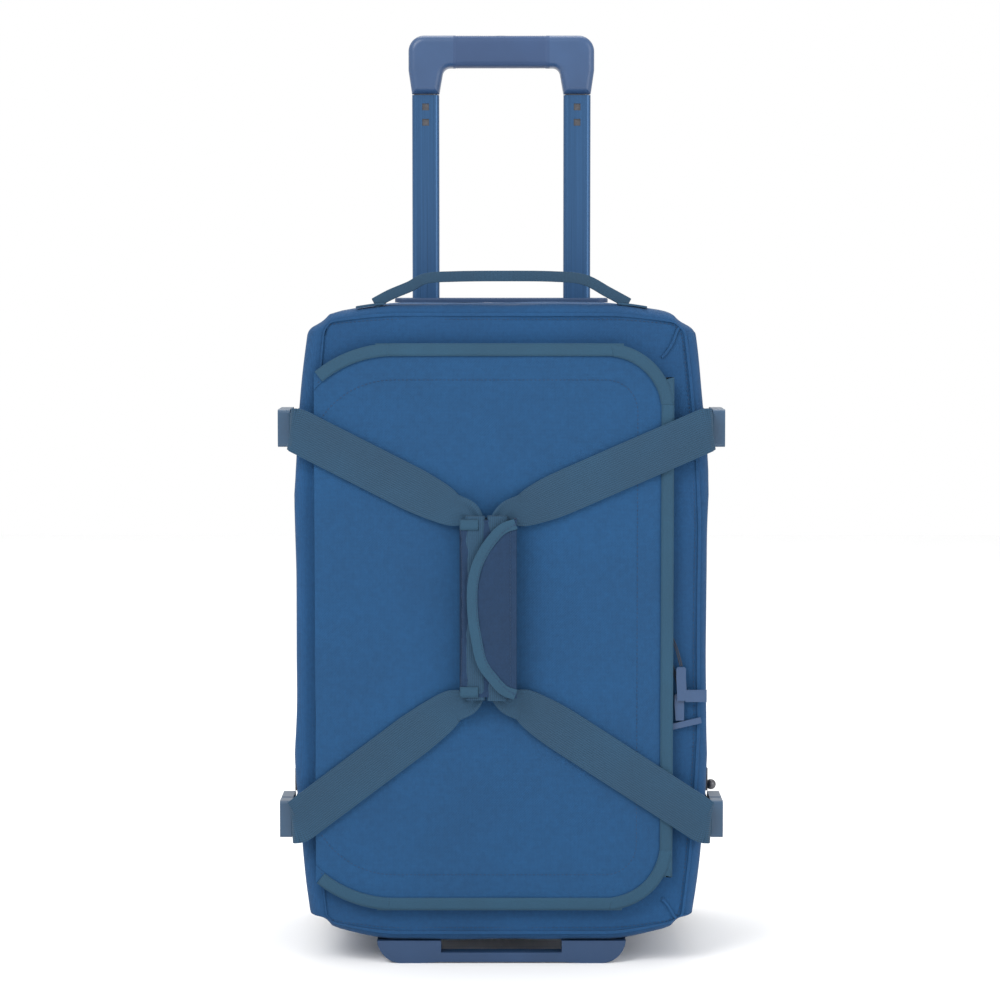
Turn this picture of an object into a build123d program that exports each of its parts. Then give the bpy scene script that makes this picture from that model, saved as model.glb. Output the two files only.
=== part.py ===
"""Softside wheeled duffel case: a fabric shell with a strapped lid, a telescopic trolley, rear wheels
and a front stand.

Millimetres. +Z is up, the lid faces -Y and the trolley stands at the back (+Y).
The origin is on the floor, under the middle of the whole case.
"""

import os
from math import cos, pi, radians, sin, sqrt, tan

from build123d import *

os.makedirs("parts", exist_ok=True)

# ---------------------------------------------------------------- driving sizes
# shell
body_width = 344.0
body_depth = 230.0
body_height = 531.0
ground_gap = 19.0  # floor to the underside of the shell
wall = 4.0  # outer fabric, foam and lining together
corner_radius = 26.0  # corners seen from the front
edge_radius = 10.0  # edges round the front and back faces
seam_inset = 8.0  # front and back seams, in from the outline
gusset_return = 22.0  # height of the top and bottom panels at the sides
side_return = 16.0  # the side panel's turn onto the front face, and the lid's hinge seam

# lid
lid_right_strip = 30.0  # front face left free beside the lid
lid_top_strip = 31.5
lid_bottom_strip = 28.5
lid_corner_radius = 56.0  # free corners
lid_seam_radius = 101.0  # the long curves that run into the hinge seam
lid_seam_run = 67.0  # length of those curves along the top and bottom
lid_gap = 5.0  # space between lid and front face, where the zip lies
lid_thickness = 4.5
binding_width = 10.5
binding_proud = 0.8
opening_overlap = 6.0  # how far the lid covers the front face past the opening
zip_tape_width = 5.0
zip_tape_thickness = 1.6
zip_joint_gap = 0.6
lid_pad_depth = 3.0  # the lid's lining stands this far into the opening
lid_pad_inset = 12.0  # its edge, in from the lid's outline
lid_hinge_gap = 2.0  # hinge line to the lid's stiff panel

# webbing harness on the lid
strap_width = 35.0
webbing = 1.8  # thickness of every strap
lay_gap = 0.6  # between a strap and what it lies on
side_webbing_width = 25.0
upper_strap_z = 448.0
lower_strap_z = 121.5
haul_x = -11.0  # middle of the grab handle
haul_z = 301.5
haul_length = 148.0
haul_width = 47.0
sleeve_wall = 2.6
grip_webbing_depth = 8.6
grip_webbing_width = 17.0
tab_thickness = 3.2
tab_curve_height = 40.0  # length of the tab's curved ends
grip_overrun = 11.0  # the gathered webbing past each end of the sleeve
strap_split = 60.0  # from the haul handle to where its lift ends on the straps
grip_overrun = 11.0  # the gathered webbing past each end of the sleeve
strap_split = 60.0  # from the haul handle to where its lift ends on the straps

# side-release buckles
buckle_width = 31.0
buckle_thickness = 10.0
buckle_standoff = 2.8  # above the side panel, room for the side strap
buckle_setback = 24.0  # socket mouth behind the front face
socket_length = 32.0
socket_mouth = 18.0  # depth of the cavity
clip_base = 19.0
clip_clearance = 2.2  # lets the clips swing out with the lid
prong_thickness = 2.6
prong_length = 14.0

# top carry handle
carry_half_span = 104.0
carry_rise = 24.0
carry_flat_left = 62.0
carry_flat_right = 72.0
carry_thickness = 9.5
carry_depth = 24.0
carry_setback = 16.0
carry_lift = 8.0  # pivot above the top panel

# trolley
tube_half_spacing = 67.0
tube_width = 24.0  # middle tube
tube_depth = 14.0
tube_wall = 1.2
tube_clearance = 0.4
tube_corner = 4.0
tube_inset = 24.0  # tube centre line in front of the back face
lower_travel = 177.0
upper_travel = 205.0
middle_tube_overlap = 253.0  # middle tube left inside when it is pulled right up
inner_tube_overlap = 190.0
bezel_thickness = 4.0
bezel_sleeve = 20.0
bezel_margin_x = 14.0
bezel_margin_y = 6.0
bezel_gap = 2.0  # middle tube above the bezel when it is pushed right down
window_size = 6.0
window_first = 10.5
window_pitch = 13.5
bushing_length = 36.0

# trolley grip
grip_half_width = 82.0
grip_height = 51.0
grip_bar_height = 28.0
grip_depth = 26.0
grip_leg_width = 24.0
grip_socket = 15.0
button_length = 33.0
button_depth = 11.0
button_height = 12.0
button_proud = 3.2
button_travel = 4.0
rod_radius = 1.6
link_bar = 5.0

# wheels
wheel_radius = 34.0
wheel_width = 24.0
wheel_x = 130.0
wheel_inset = 27.0  # axle in front of the back face
wheel_gap = 2.0  # each side of the wheel
wheel_arch_gap = 4.0
cheek = 8.0
hub_radius = 24.0
bearing_radius = 11.0
bearing_width = 7.0
axle_radius = 4.0
running_clearance = 0.05
housing_top = 16.0  # above the wheel
housing_front = 10.0  # in front of the wheel
flange = 3.0
flange_margin = 3.0

# stand
foot_inner = 50.5
foot_outer = 104.0
foot_flat_start = 68.0
foot_flat_end = 82.0
stand_depth = 26.0
stand_setback = 16.0
bar_low = 1.0
bar_height = 8.0
bar_depth = 14.0

# boards inside
board = 3.0
fit = 0.3  # between pieces that lie side by side
trolley_foot_height = 18.0
tube_seat = 6.0

# fasteners
screw_radius = 1.9
screw_head_radius = 4.0
screw_head_height = 1.8
screw_length = 14.0
foot_screw_near = 62.0
foot_screw_far = 92.0

# zip pulls
slider_width = 5.5
slider_length = 14.0
slider_thickness = 2.2
slider_pair_z = 280.0
slider_spacing = 21.0
cord_radius = 0.6
leg_spacing = 1.56  # between the two legs of a doubled cord
cord_lid_gap = 0.15  # the upper cord runs just behind the lid
knee_reach = 1.8  # each leg turns down this far past the lid's edge
upper_knee_drop = 12.0  # below the slider's eye
lower_knee_drop = 14.0
run_share = 0.45  # of the shorter run, taken up by the bend
t_stem_width = 5.0
t_stem_length = 12.0
t_bar_width = 25.0
t_bar_height = 5.0
t_upper_thickness = 2.6
t_lower_thickness = 3.2

# pocket zips on the sides
pocket_setback = 92.0
pocket_low = 138.0
pocket_high = 415.0
pocket_tape_width = 12.0
pocket_tape_thickness = 1.4
bead_radius = 4.5
pocket_pull_thickness = 1.6
pocket_pull_width = 6.0

# ---------------------------------------------------------------- derived places
half_width = body_width / 2
z_low = ground_gap
z_top = ground_gap + body_height
harness_depth = 4 * lay_gap + webbing + sleeve_wall + grip_webbing_depth + tab_thickness
front_reach = lid_gap + lid_thickness + binding_proud + harness_depth
rear_reach = wheel_radius - wheel_inset
y_front = (front_reach - rear_reach - body_depth) / 2
y_back = y_front + body_depth

seam_x = -(half_width - side_return)
lid_right = half_width - lid_right_strip
lid_top = z_top - lid_top_strip
lid_bottom = z_low + lid_bottom_strip
lid_back_y = y_front - lid_gap
lid_front_y = lid_back_y - lid_thickness
strap_back_y = lid_front_y - binding_proud - lay_gap
strap_front_y = strap_back_y - webbing

tube_y = y_back - tube_inset
outer_tube_width = tube_width + 2 * (tube_clearance + tube_wall)
outer_tube_depth = tube_depth + 2 * (tube_clearance + tube_wall)
inner_tube_width = tube_width - 2 * (tube_wall + tube_clearance)
inner_tube_depth = tube_depth - 2 * (tube_wall + tube_clearance)
bezel_top = z_top + bezel_thickness
middle_top = bezel_top + bezel_gap + lower_travel
middle_tube_length = lower_travel + middle_tube_overlap
middle_low = middle_top - middle_tube_length
grip_low = middle_top + 1.0
grip_top = grip_low + grip_height
inner_top = grip_low + grip_socket
inner_tube_length = upper_travel + inner_tube_overlap
inner_low = inner_top - inner_tube_length

wheel_y = y_back - wheel_inset
arch_radius = wheel_radius + wheel_arch_gap
housing_inner = wheel_x - wheel_width / 2 - wheel_gap - cheek
housing_outer = wheel_x + wheel_width / 2 + wheel_gap + cheek
housing_y_front = wheel_y - arch_radius - housing_front
housing_y_back = y_back + 2.0
housing_z_top = 2 * wheel_radius + housing_top
housing_z_low = ground_gap - flange

board_low = z_low + wall + fit
board_top = board_low + board
foot_low = board_top + fit
foot_top = foot_low + trolley_foot_height
cover_y = tube_y - outer_tube_depth / 2 - 2 * fit - board
stand_y = y_front + stand_setback
screw_places = [(x, stand_y) for x in (-foot_screw_far, -foot_screw_near, foot_screw_near, foot_screw_far)]

haul_low = haul_z - haul_length / 2
haul_high = haul_z + haul_length / 2
haul_left = haul_x - haul_width / 2
haul_right = haul_x + haul_width / 2
sleeve_y = strap_front_y - lay_gap  # back of the sleeve
grips_y = sleeve_y - sleeve_wall - lay_gap
tab_y = grips_y - grip_webbing_depth - lay_gap

socket_y = y_front + buckle_setback
clip_y = socket_y - 1.0  # back of the clip's body
buckle_x = half_width + buckle_standoff + buckle_thickness / 2
pocket_y = y_front + pocket_setback


def keep(piece, label):
    """Label a finished piece and write it as its own STEP file."""
    piece.part.label = label
    export_step(piece.part, f"parts/{label}.step")


def box_between(x, y, z, mode=Mode.ADD):
    """A box given by its (low, high) along each axis, for use inside a BuildPart."""
    with Locations(((x[0] + x[1]) / 2, (y[0] + y[1]) / 2, (z[0] + z[1]) / 2)):
        Box(x[1] - x[0], y[1] - y[0], z[1] - z[0], mode=mode)


def plate_plane(y):
    """A sketch plane along X and Z at depth y. A negative extrusion goes towards +Y."""
    return Plane(origin=(0, y, 0), x_dir=(1, 0, 0), z_dir=(0, -1, 0))


def case_block(inset):
    """The case's solid form, shrunk by inset all round."""
    with BuildPart() as block:
        with BuildSketch(plate_plane(y_front + inset)):
            with Locations((0, (z_low + z_top) / 2)):
                RectangleRounded(body_width - 2 * inset, body_height - 2 * inset, corner_radius - inset)
        extrude(amount=-(body_depth - 2 * inset))
        fillet(block.faces().filter_by(Axis.Y).edges(), edge_radius - inset)
    return block.part


def lid_plate(inset, left, y_near, y_far):
    """A plate of the lid's outline, inset from its three free edges, between two depths."""
    arc_x = seam_x + lid_seam_run
    seam_r = lid_seam_radius - inset
    free_r = lid_corner_radius - inset
    reach = sqrt(seam_r**2 - (arc_x - left) ** 2)
    high, low, right = lid_top - inset, lid_bottom + inset, lid_right - inset
    high_left = (left, lid_top - lid_seam_radius + reach)
    low_left = (left, lid_bottom + lid_seam_radius - reach)
    across, up = seam_r * sin(radians(20)), seam_r * cos(radians(20))
    high_mid = (arc_x - across, lid_top - lid_seam_radius + up)
    low_mid = (arc_x - across, lid_bottom + lid_seam_radius - up)
    with BuildPart() as plate:
        with BuildSketch(plate_plane(y_near)):
            with BuildLine():
                ThreePointArc(high_left, high_mid, (arc_x, high))
                Line((arc_x, high), (right - free_r, high))
                RadiusArc((right - free_r, high), (right, high - free_r), free_r)
                Line((right, high - free_r), (right, low + free_r))
                RadiusArc((right, low + free_r), (right - free_r, low), free_r)
                Line((right - free_r, low), (arc_x, low))
                ThreePointArc((arc_x, low), low_mid, low_left)
                Line(low_left, high_left)
            make_face()
        extrude(amount=-(y_far - y_near))
    return plate.part


def seam_plate(y_near, y_far, grow, left):
    """A plate of the front or back seam's outline, its left side at x = left."""
    right = half_width - seam_inset + grow
    with BuildPart() as plate:
        with BuildSketch(plate_plane(y_near)):
            with Locations(((left - grow + right) / 2, (z_low + z_top) / 2)):
                RectangleRounded(
                    right - left + grow,
                    body_height - 2 * seam_inset + 2 * grow,
                    corner_radius - seam_inset + grow,
                )
        extrude(amount=-(y_far - y_near))
    return plate.part


case_outer = case_block(0)
case_inner = case_block(wall)
front_seam_plate = seam_plate(y_front - 5, y_front + wall, 0, seam_x)
back_seam_plate = seam_plate(y_back - wall, y_back + 5, 0, -half_width + seam_inset)

# clear spaces that the housings and the trolley need in the shell
with BuildPart() as housing_space:
    for side in (-1, 1):
        box_between(
            sorted((side * (housing_inner - fit), side * (housing_outer + fit))),
            (housing_y_front - fit, y_back + 10),
            (0, housing_z_top + fit),
        )

sleeve_width = outer_tube_width + 2 * (fit + 1.6)
sleeve_depth = outer_tube_depth + 2 * (fit + 1.6)
with BuildPart() as sleeve_space:
    with BuildSketch(Plane.XY.offset(z_top - 40)):
        with Locations((-tube_half_spacing, tube_y), (tube_half_spacing, tube_y)):
            RectangleRounded(sleeve_width + 2 * fit, sleeve_depth + 2 * fit, tube_corner + 3)
    extrude(amount=60)

with BuildPart() as screw_space:
    with Locations([(x, y, z_low + wall) for x, y in screw_places]):
        Cylinder(screw_radius + running_clearance, 3 * wall + 2)

with BuildPart() as shell:
    add(case_outer)
    add(case_inner, mode=Mode.SUBTRACT)
    add(lid_plate(opening_overlap, seam_x, y_front - 5, y_front + wall + 1), mode=Mode.SUBTRACT)
    add(housing_space.part, mode=Mode.SUBTRACT)
    add(sleeve_space.part, mode=Mode.SUBTRACT)
    add(screw_space.part, mode=Mode.SUBTRACT)

with BuildPart() as gusset:
    add(shell.part)
    add(front_seam_plate, mode=Mode.SUBTRACT)
    add(back_seam_plate, mode=Mode.SUBTRACT)

with BuildPart() as front_panel:
    add(shell.part)
    add(front_seam_plate, mode=Mode.INTERSECT)
keep(front_panel, "front_panel")

with BuildPart() as back_panel:
    add(shell.part)
    add(back_seam_plate, mode=Mode.INTERSECT)
keep(back_panel, "back_panel")

depth_span = (y_front - 10, y_back + 10)
side_span = (z_low + gusset_return, z_top - gusset_return)
for label, x_span, z_span in (
    ("left_side_panel", (-half_width - 1, 0), side_span),
    ("right_side_panel", (0, half_width + 1), side_span),
    ("top_panel", (-half_width - 1, half_width + 1), (side_span[1], z_top + 1)),
    ("bottom_panel", (-half_width - 1, half_width + 1), (z_low - 1, side_span[0])),
):
    with BuildPart() as band:
        add(gusset.part)
        box_between(x_span, depth_span, z_span, mode=Mode.INTERSECT)
    keep(band, label)

# a corded seam round the front and one round the back
with BuildPart() as piping:
    for y_near, y_far, left in (
        (y_front - 1.3, y_front + 2, seam_x),
        (y_back - 2, y_back + 1.3, -half_width + seam_inset),
    ):
        add(seam_plate(y_near, y_far, 1.3, left))
        add(seam_plate(y_near, y_far, -1.3, left), mode=Mode.SUBTRACT)
    add(case_outer, mode=Mode.SUBTRACT)
    add(housing_space.part, mode=Mode.SUBTRACT)
keep(piping, "piping")

# ---------------------------------------------------------------- main zip
tape_front = y_front - fit - zip_tape_thickness
tape_outer = 1.4  # outer edge of the case's tape, in from the lid's outline
chain_inset = tape_outer + zip_tape_width + zip_joint_gap / 2
with BuildPart() as frame_zip_tape:
    add(lid_plate(tape_outer, seam_x + 4, tape_front, y_front))
    add(lid_plate(tape_outer + zip_tape_width, seam_x, tape_front - 1, y_front + 1), mode=Mode.SUBTRACT)
keep(frame_zip_tape, "frame_zip_tape")

pad_left = seam_x + 6
with BuildPart() as lid_zip_tape:
    add(lid_plate(lid_pad_inset - zip_tape_width, pad_left, tape_front, y_front - fit))
    add(lid_plate(lid_pad_inset, seam_x, tape_front - 1, y_front + 1), mode=Mode.SUBTRACT)
keep(lid_zip_tape, "lid_zip_tape")

# ---------------------------------------------------------------- lid
lid_left = seam_x + lid_hinge_gap
with BuildPart() as lid_panel:
    add(lid_plate(1.5, lid_left, lid_front_y, lid_back_y))
keep(lid_panel, "lid_panel")

with BuildPart() as lid_binding:
    add(lid_plate(0, lid_left, lid_front_y - binding_proud, lid_back_y))
    add(lid_plate(binding_width, seam_x, lid_front_y - 5, lid_back_y + 1), mode=Mode.SUBTRACT)
    add(lid_panel.part, mode=Mode.SUBTRACT)
keep(lid_binding, "lid_binding")

with BuildPart() as lid_lining:
    add(lid_plate(lid_pad_inset, pad_left, lid_back_y, y_front + lid_pad_depth))
keep(lid_lining, "lid_lining")

# ---------------------------------------------------------------- trolley
def tube(width, depth, low, high):
    """A pair of flat-oval tubes, tube_wall thick."""
    with BuildPart() as pair:
        with BuildSketch(Plane.XY.offset(low)):
            with Locations((-tube_half_spacing, tube_y), (tube_half_spacing, tube_y)):
                RectangleRounded(width, depth, tube_corner)
                RectangleRounded(
                    width - 2 * tube_wall,
                    depth - 2 * tube_wall,
                    tube_corner - tube_wall,
                    mode=Mode.SUBTRACT,
                )
        extrude(amount=high - low)
    return pair.part


def bars(width, depth, radius, low, high):
    """A pair of solid bars on the tubes' centre lines."""
    with BuildPart() as pair:
        with BuildSketch(Plane.XY.offset(low)):
            with Locations((-tube_half_spacing, tube_y), (tube_half_spacing, tube_y)):
                RectangleRounded(width, depth, radius)
        extrude(amount=high - low)
    return pair.part


with BuildPart() as outer_tubes:
    add(tube(outer_tube_width, outer_tube_depth, foot_low + tube_seat, z_top - 0.2))
keep(outer_tubes, "outer_tubes")

with BuildPart() as middle_tubes:
    add(tube(tube_width, tube_depth, middle_low, middle_top))
    for x in (-tube_half_spacing, tube_half_spacing):
        for row in range(2):
            z = middle_top - window_first - row * window_pitch
            with Locations((x, tube_y - tube_depth / 2, z)):
                Box(window_size, 2 * tube_wall + 1, window_size, mode=Mode.SUBTRACT)
keep(middle_tubes, "middle_tubes")

plug_width = tube_width - 2 * tube_wall - 0.1
plug_depth = tube_depth - 2 * tube_wall - 0.1
with BuildPart() as middle_bushings:
    collar = bushing_length / 3
    collar_width, collar_depth = tube_width + tube_clearance, tube_depth + tube_clearance
    add(bars(collar_width, collar_depth, tube_corner, middle_low - collar, middle_low))
    add(bars(plug_width, plug_depth, tube_corner - tube_wall, middle_low, middle_low + 2 * collar))
keep(middle_bushings, "middle_bushings")

with BuildPart() as inner_tubes:
    add(tube(inner_tube_width, inner_tube_depth, inner_low, inner_top))
keep(inner_tubes, "inner_tubes")

with BuildPart() as trolley_bezel:
    plate_width = 2 * tube_half_spacing + outer_tube_width + 2 * bezel_margin_x
    with BuildSketch(Plane.XY.offset(z_top)):
        with Locations((0, tube_y)):
            RectangleRounded(plate_width, outer_tube_depth + 2 * bezel_margin_y, 10)
    extrude(amount=bezel_thickness)
    fillet(trolley_bezel.faces().sort_by(Axis.Z)[-1].edges(), 1.5)
    add(bars(sleeve_width, sleeve_depth, tube_corner + 2, z_top - bezel_sleeve, z_top))
    add(
        bars(outer_tube_width + fit, outer_tube_depth + fit, tube_corner, z_top - bezel_sleeve - 1, z_top),
        mode=Mode.SUBTRACT,
    )
    add(
        bars(
            tube_width + 2 * tube_clearance,
            tube_depth + 2 * tube_clearance,
            tube_corner,
            z_top - 1,
            bezel_top + 1,
        ),
        mode=Mode.SUBTRACT,
    )
keep(trolley_bezel, "trolley_bezel")

# grip: one core, a ribbed cover round its bar and a push button on top
channel_low = grip_top - button_height - link_bar - button_travel - 1.0
with BuildPart() as grip_form:
    with BuildSketch(plate_plane(tube_y - grip_depth / 2)):
        with BuildLine():
            foot_x = (tube_half_spacing - grip_leg_width / 2, tube_half_spacing + grip_leg_width / 2)
            under = grip_top - grip_bar_height
            right = [
                (foot_x[1], grip_low),
                (grip_half_width, grip_low + grip_height * 0.4),
                (grip_half_width, grip_top),
            ]
            inside = [(foot_x[0] - 4, under), (foot_x[0], grip_low)]
            mirrored = [(-x, z) for x, z in reversed(right)]
            mirrored_inside = [(-x, z) for x, z in reversed(inside)]
            Polyline(*right, *mirrored, *mirrored_inside, *inside, close=True)
        make_face()
    extrude(amount=-grip_depth)
    upright = grip_form.edges().filter_by(Axis.Y)
    fillet(upright.sort_by(Axis.Z)[-2:], 14)
    fillet(grip_form.edges().filter_by(Axis.Y).group_by(Axis.Z)[-3], 7)
    fillet(grip_form.faces().filter_by(Axis.Y).edges(), 6)

cover_half = 42.5
cover_thickness = 2.0
with BuildPart() as cover_ring:
    add(grip_form.part)
    around_y, around_z = (tube_y - 40, tube_y + 40), (grip_low, grip_top + 9)
    box_between((-cover_half, cover_half), around_y, around_z, mode=Mode.INTERSECT)
    box_between(
        (-cover_half - 1, cover_half + 1),
        (tube_y - grip_depth / 2 + cover_thickness, tube_y + grip_depth / 2 - cover_thickness),
        (under + cover_thickness, grip_top - cover_thickness),
        mode=Mode.SUBTRACT,
    )

with BuildPart() as button_recess:
    box_between(
        (-button_length / 2 - 4, button_length / 2 + 4),
        (tube_y - button_depth / 2 - 2.5, tube_y + button_depth / 2 + 2.5),
        (grip_top - button_proud, grip_top + 5),
    )

with BuildPart() as grip_cover:
    add(cover_ring.part)
    add(button_recess.part, mode=Mode.SUBTRACT)
keep(grip_cover, "grip_cover")

rod_low = inner_low + 20
with BuildPart() as grip_core:
    add(grip_form.part)
    add(cover_ring.part, mode=Mode.SUBTRACT)
    add(button_recess.part, mode=Mode.SUBTRACT)
    hole_width, hole_depth = inner_tube_width + 0.2, inner_tube_depth + 0.2
    add(bars(hole_width, hole_depth, tube_corner, grip_low - 1, inner_top), mode=Mode.SUBTRACT)
    box_between(
        (-button_length / 2 - fit, button_length / 2 + fit),
        (tube_y - button_depth / 2 - fit, tube_y + button_depth / 2 + fit),
        (grip_top - button_height - button_travel - 0.5, grip_top),
        mode=Mode.SUBTRACT,
    )
    box_between(
        (-tube_half_spacing - link_bar, tube_half_spacing + link_bar),
        (tube_y - link_bar / 2 - fit, tube_y + link_bar / 2 + fit),
        (channel_low, grip_top - button_height + fit),
        mode=Mode.SUBTRACT,
    )
    for x in (-tube_half_spacing, tube_half_spacing):
        with Locations((x, tube_y, (channel_low + inner_top) / 2)):
            Cylinder(rod_radius + running_clearance, channel_low - inner_top + 2, mode=Mode.SUBTRACT)
keep(grip_core, "grip_core")

with BuildPart() as release_button:
    with BuildSketch(plate_plane(tube_y - button_depth / 2)):
        with BuildLine():
            half = button_length / 2
            edge_z = grip_top - 1.6
            button_low = grip_top - button_height
            Polyline((half, edge_z), (half, button_low), (-half, button_low), (-half, edge_z))
            ThreePointArc((-half, edge_z), (0, grip_top), (half, edge_z))
        make_face()
    extrude(amount=-button_depth)
keep(release_button, "release_button")

with BuildPart() as push_rods:
    bar_z = (grip_top - button_height - link_bar, grip_top - button_height)
    box_between(
        (-tube_half_spacing - link_bar / 2, tube_half_spacing + link_bar / 2),
        (tube_y - link_bar / 2, tube_y + link_bar / 2),
        bar_z,
    )
    for x in (-tube_half_spacing, tube_half_spacing):
        with Locations((x, tube_y, (rod_low + bar_z[0]) / 2)):
            Cylinder(rod_radius, bar_z[0] - rod_low + 1)
keep(push_rods, "push_rods")

# ---------------------------------------------------------------- boards inside
inner_half = half_width - corner_radius + 2
with BuildPart() as base_board:
    box_between((-inner_half, inner_half), (y_front + 9, y_back - 9), (board_low, board_top))
    add(housing_space.part, mode=Mode.SUBTRACT)
    with Locations([(x, y, board_low) for x, y in screw_places]):
        Cylinder(screw_radius + running_clearance, 4 * board, mode=Mode.SUBTRACT)
keep(base_board, "base_board")

cover_x = housing_inner - 2 * fit - 4
with BuildPart() as trolley_cover:
    box_between((-cover_x, cover_x), (cover_y, cover_y + board), (foot_low, z_top - 24))
keep(trolley_cover, "trolley_cover")

foot_x_half = tube_half_spacing + outer_tube_width / 2 + 8
with BuildPart() as trolley_foot:
    box_between((-foot_x_half, foot_x_half), (cover_y + board + fit, y_back - wall - 1), (foot_low, foot_top))
    add(
        bars(outer_tube_width + 0.2, outer_tube_depth + 0.2, tube_corner, foot_low + tube_seat, foot_top + 1),
        mode=Mode.SUBTRACT,
    )
keep(trolley_foot, "trolley_foot")

# ---------------------------------------------------------------- stand and screws
with BuildPart() as front_stand:
    with BuildSketch(plate_plane(stand_y - stand_depth / 2)):
        for side in (-1, 1):
            with BuildLine():
                Polyline(
                    (side * foot_outer, z_low),
                    (side * foot_inner, z_low),
                    (side * foot_inner, bar_low),
                    (side * foot_flat_start, 0),
                    (side * foot_flat_end, 0),
                )
                mid_x = foot_flat_end + (foot_outer - foot_flat_end) * cos(radians(45))
                mid_z = z_low * (1 - sin(radians(45)))
                ThreePointArc((side * foot_flat_end, 0), (side * mid_x, mid_z), (side * foot_outer, z_low))
            make_face()
    extrude(amount=-stand_depth)
    box_between(
        (-foot_inner - 1, foot_inner + 1),
        (stand_y - stand_depth / 2, stand_y - stand_depth / 2 + bar_depth),
        (bar_low, bar_low + bar_height),
    )
    add(screw_space.part, mode=Mode.SUBTRACT)
    for x, y in screw_places:
        with Locations((x, y, board_top - screw_length / 2)):
            Cylinder(screw_radius + running_clearance, screw_length + 0.4, mode=Mode.SUBTRACT)
keep(front_stand, "front_stand")

with BuildPart() as screws:
    for x, y in screw_places:
        with Locations((x, y, board_top - screw_length / 2)):
            Cylinder(screw_radius, screw_length)
        with Locations((x, y, board_top + screw_head_height / 2)):
            Cylinder(screw_head_radius, screw_head_height)
keep(screws, "screws")

# ---------------------------------------------------------------- wheels
for side, name in ((-1, "left"), (1, "right")):
    with BuildPart() as housing:
        box_between(
            sorted((side * housing_inner, side * housing_outer)),
            (housing_y_front, housing_y_back),
            (housing_z_low, housing_z_top),
        )
        box_between(
            sorted((side * (housing_inner - flange_margin), side * (housing_outer + flange_margin))),
            (housing_y_front - flange_margin, y_back - 8),
            (housing_z_low, housing_z_low + flange),
        )
        gap = wheel_width / 2 + wheel_gap
        with BuildSketch(Plane.YZ.offset(side * wheel_x - gap)):
            with Locations((wheel_y, wheel_radius)):
                Circle(arch_radius)
            with Locations((wheel_y - arch_radius + 60, wheel_radius - 20)):
                Rectangle(120, 40)
            with Locations((wheel_y + 30, wheel_radius + arch_radius / 2)):
                Rectangle(60, arch_radius)
        extrude(amount=2 * gap, mode=Mode.SUBTRACT)
        with Locations(Location((side * wheel_x, wheel_y, wheel_radius), (0, 90, 0))):
            Cylinder(axle_radius + running_clearance, 3 * wheel_width, mode=Mode.SUBTRACT)
    keep(housing, f"{name}_wheel_housing")

    with BuildPart() as tyre:
        with Locations(Location((side * wheel_x, wheel_y, wheel_radius), (0, 90, 0))):
            Cylinder(wheel_radius, wheel_width)
            Cylinder(hub_radius, wheel_width + 2, mode=Mode.SUBTRACT)
        fillet(tyre.edges().filter_by(GeomType.CIRCLE).group_by(SortBy.RADIUS)[-1], 3.5)
    keep(tyre, f"{name}_tyre")

    with BuildPart() as hub:
        with Locations(Location((side * wheel_x, wheel_y, wheel_radius), (0, 90, 0))):
            Cylinder(hub_radius, wheel_width)
            Cylinder(axle_radius + running_clearance, wheel_width + 2, mode=Mode.SUBTRACT)
        for face in (-1, 1):
            face_x = side * wheel_x + face * (wheel_width / 2 - bearing_width / 2)
            with Locations(Location((face_x, wheel_y, wheel_radius), (0, 90, 0))):
                Cylinder(hub_radius - 3, bearing_width, mode=Mode.SUBTRACT)
                Cylinder(bearing_radius, bearing_width)
                Cylinder(axle_radius + running_clearance, wheel_width, mode=Mode.SUBTRACT)
    keep(hub, f"{name}_wheel_hub")

with BuildPart() as wheel_axles:
    for side in (-1, 1):
        with Locations(Location((side * wheel_x, wheel_y, wheel_radius), (0, 90, 0))):
            Cylinder(axle_radius, housing_outer - housing_inner)
keep(wheel_axles, "wheel_axles")

# ---------------------------------------------------------------- harness
def strap_arms(side, x_span):
    """The two arms of one strap loop, cut to a span of x and clear of the haul handle."""
    with BuildPart() as arms:
        for z_edge, z_mid in ((upper_strap_z, haul_high - 4), (lower_strap_z, haul_low + 4)):
            start = Vector(haul_x + side * 8, z_mid)
            end = Vector(side * (half_width - 4), z_edge)
            along = (end - start).normalized()
            across = Vector(-along.Y, along.X) * (strap_width / 2)
            near, far = start - along * 30, end + along * 30
            with BuildSketch(plate_plane(strap_front_y)):
                with BuildLine():
                    corners = (near + across, far + across, far - across, near - across)
                    Polyline(*[(c.X, c.Y) for c in corners], close=True)
                make_face()
            extrude(amount=-webbing)
        depth = (strap_front_y - 1, strap_back_y + 1)
        box_between(x_span, depth, (z_low, z_top), mode=Mode.INTERSECT)
        clear_z = (haul_low - fit, haul_high + fit)
        box_between((haul_x - 200, haul_x + 200), depth, clear_z, mode=Mode.SUBTRACT)
    return arms.part


def strap_legs(side, y_far):
    """The turned ends of one loop, running back along the side to the buckles."""
    with BuildPart() as legs:
        for z in (upper_strap_z, lower_strap_z):
            box_between(
                sorted((side * (buckle_x - webbing / 2), side * (buckle_x + webbing / 2))),
                (strap_front_y, y_far),
                (z - side_webbing_width / 2, z + side_webbing_width / 2),
            )
    return legs.part


leg_x = buckle_x + webbing / 2
clip_front = clip_y - clip_base
arm_start = seam_x + 4
with BuildPart() as left_straps:
    add(strap_arms(-1, (arm_start, haul_x - strap_split)))
keep(left_straps, "left_straps")

with BuildPart() as left_strap_turns:
    add(strap_arms(-1, (-leg_x, arm_start)))
    add(strap_legs(-1, clip_front))
keep(left_strap_turns, "left_strap_turns")

with BuildPart() as right_straps:
    add(strap_arms(1, (haul_x + strap_split, leg_x)))
    add(strap_legs(1, clip_front))
keep(right_straps, "right_straps")

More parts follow.
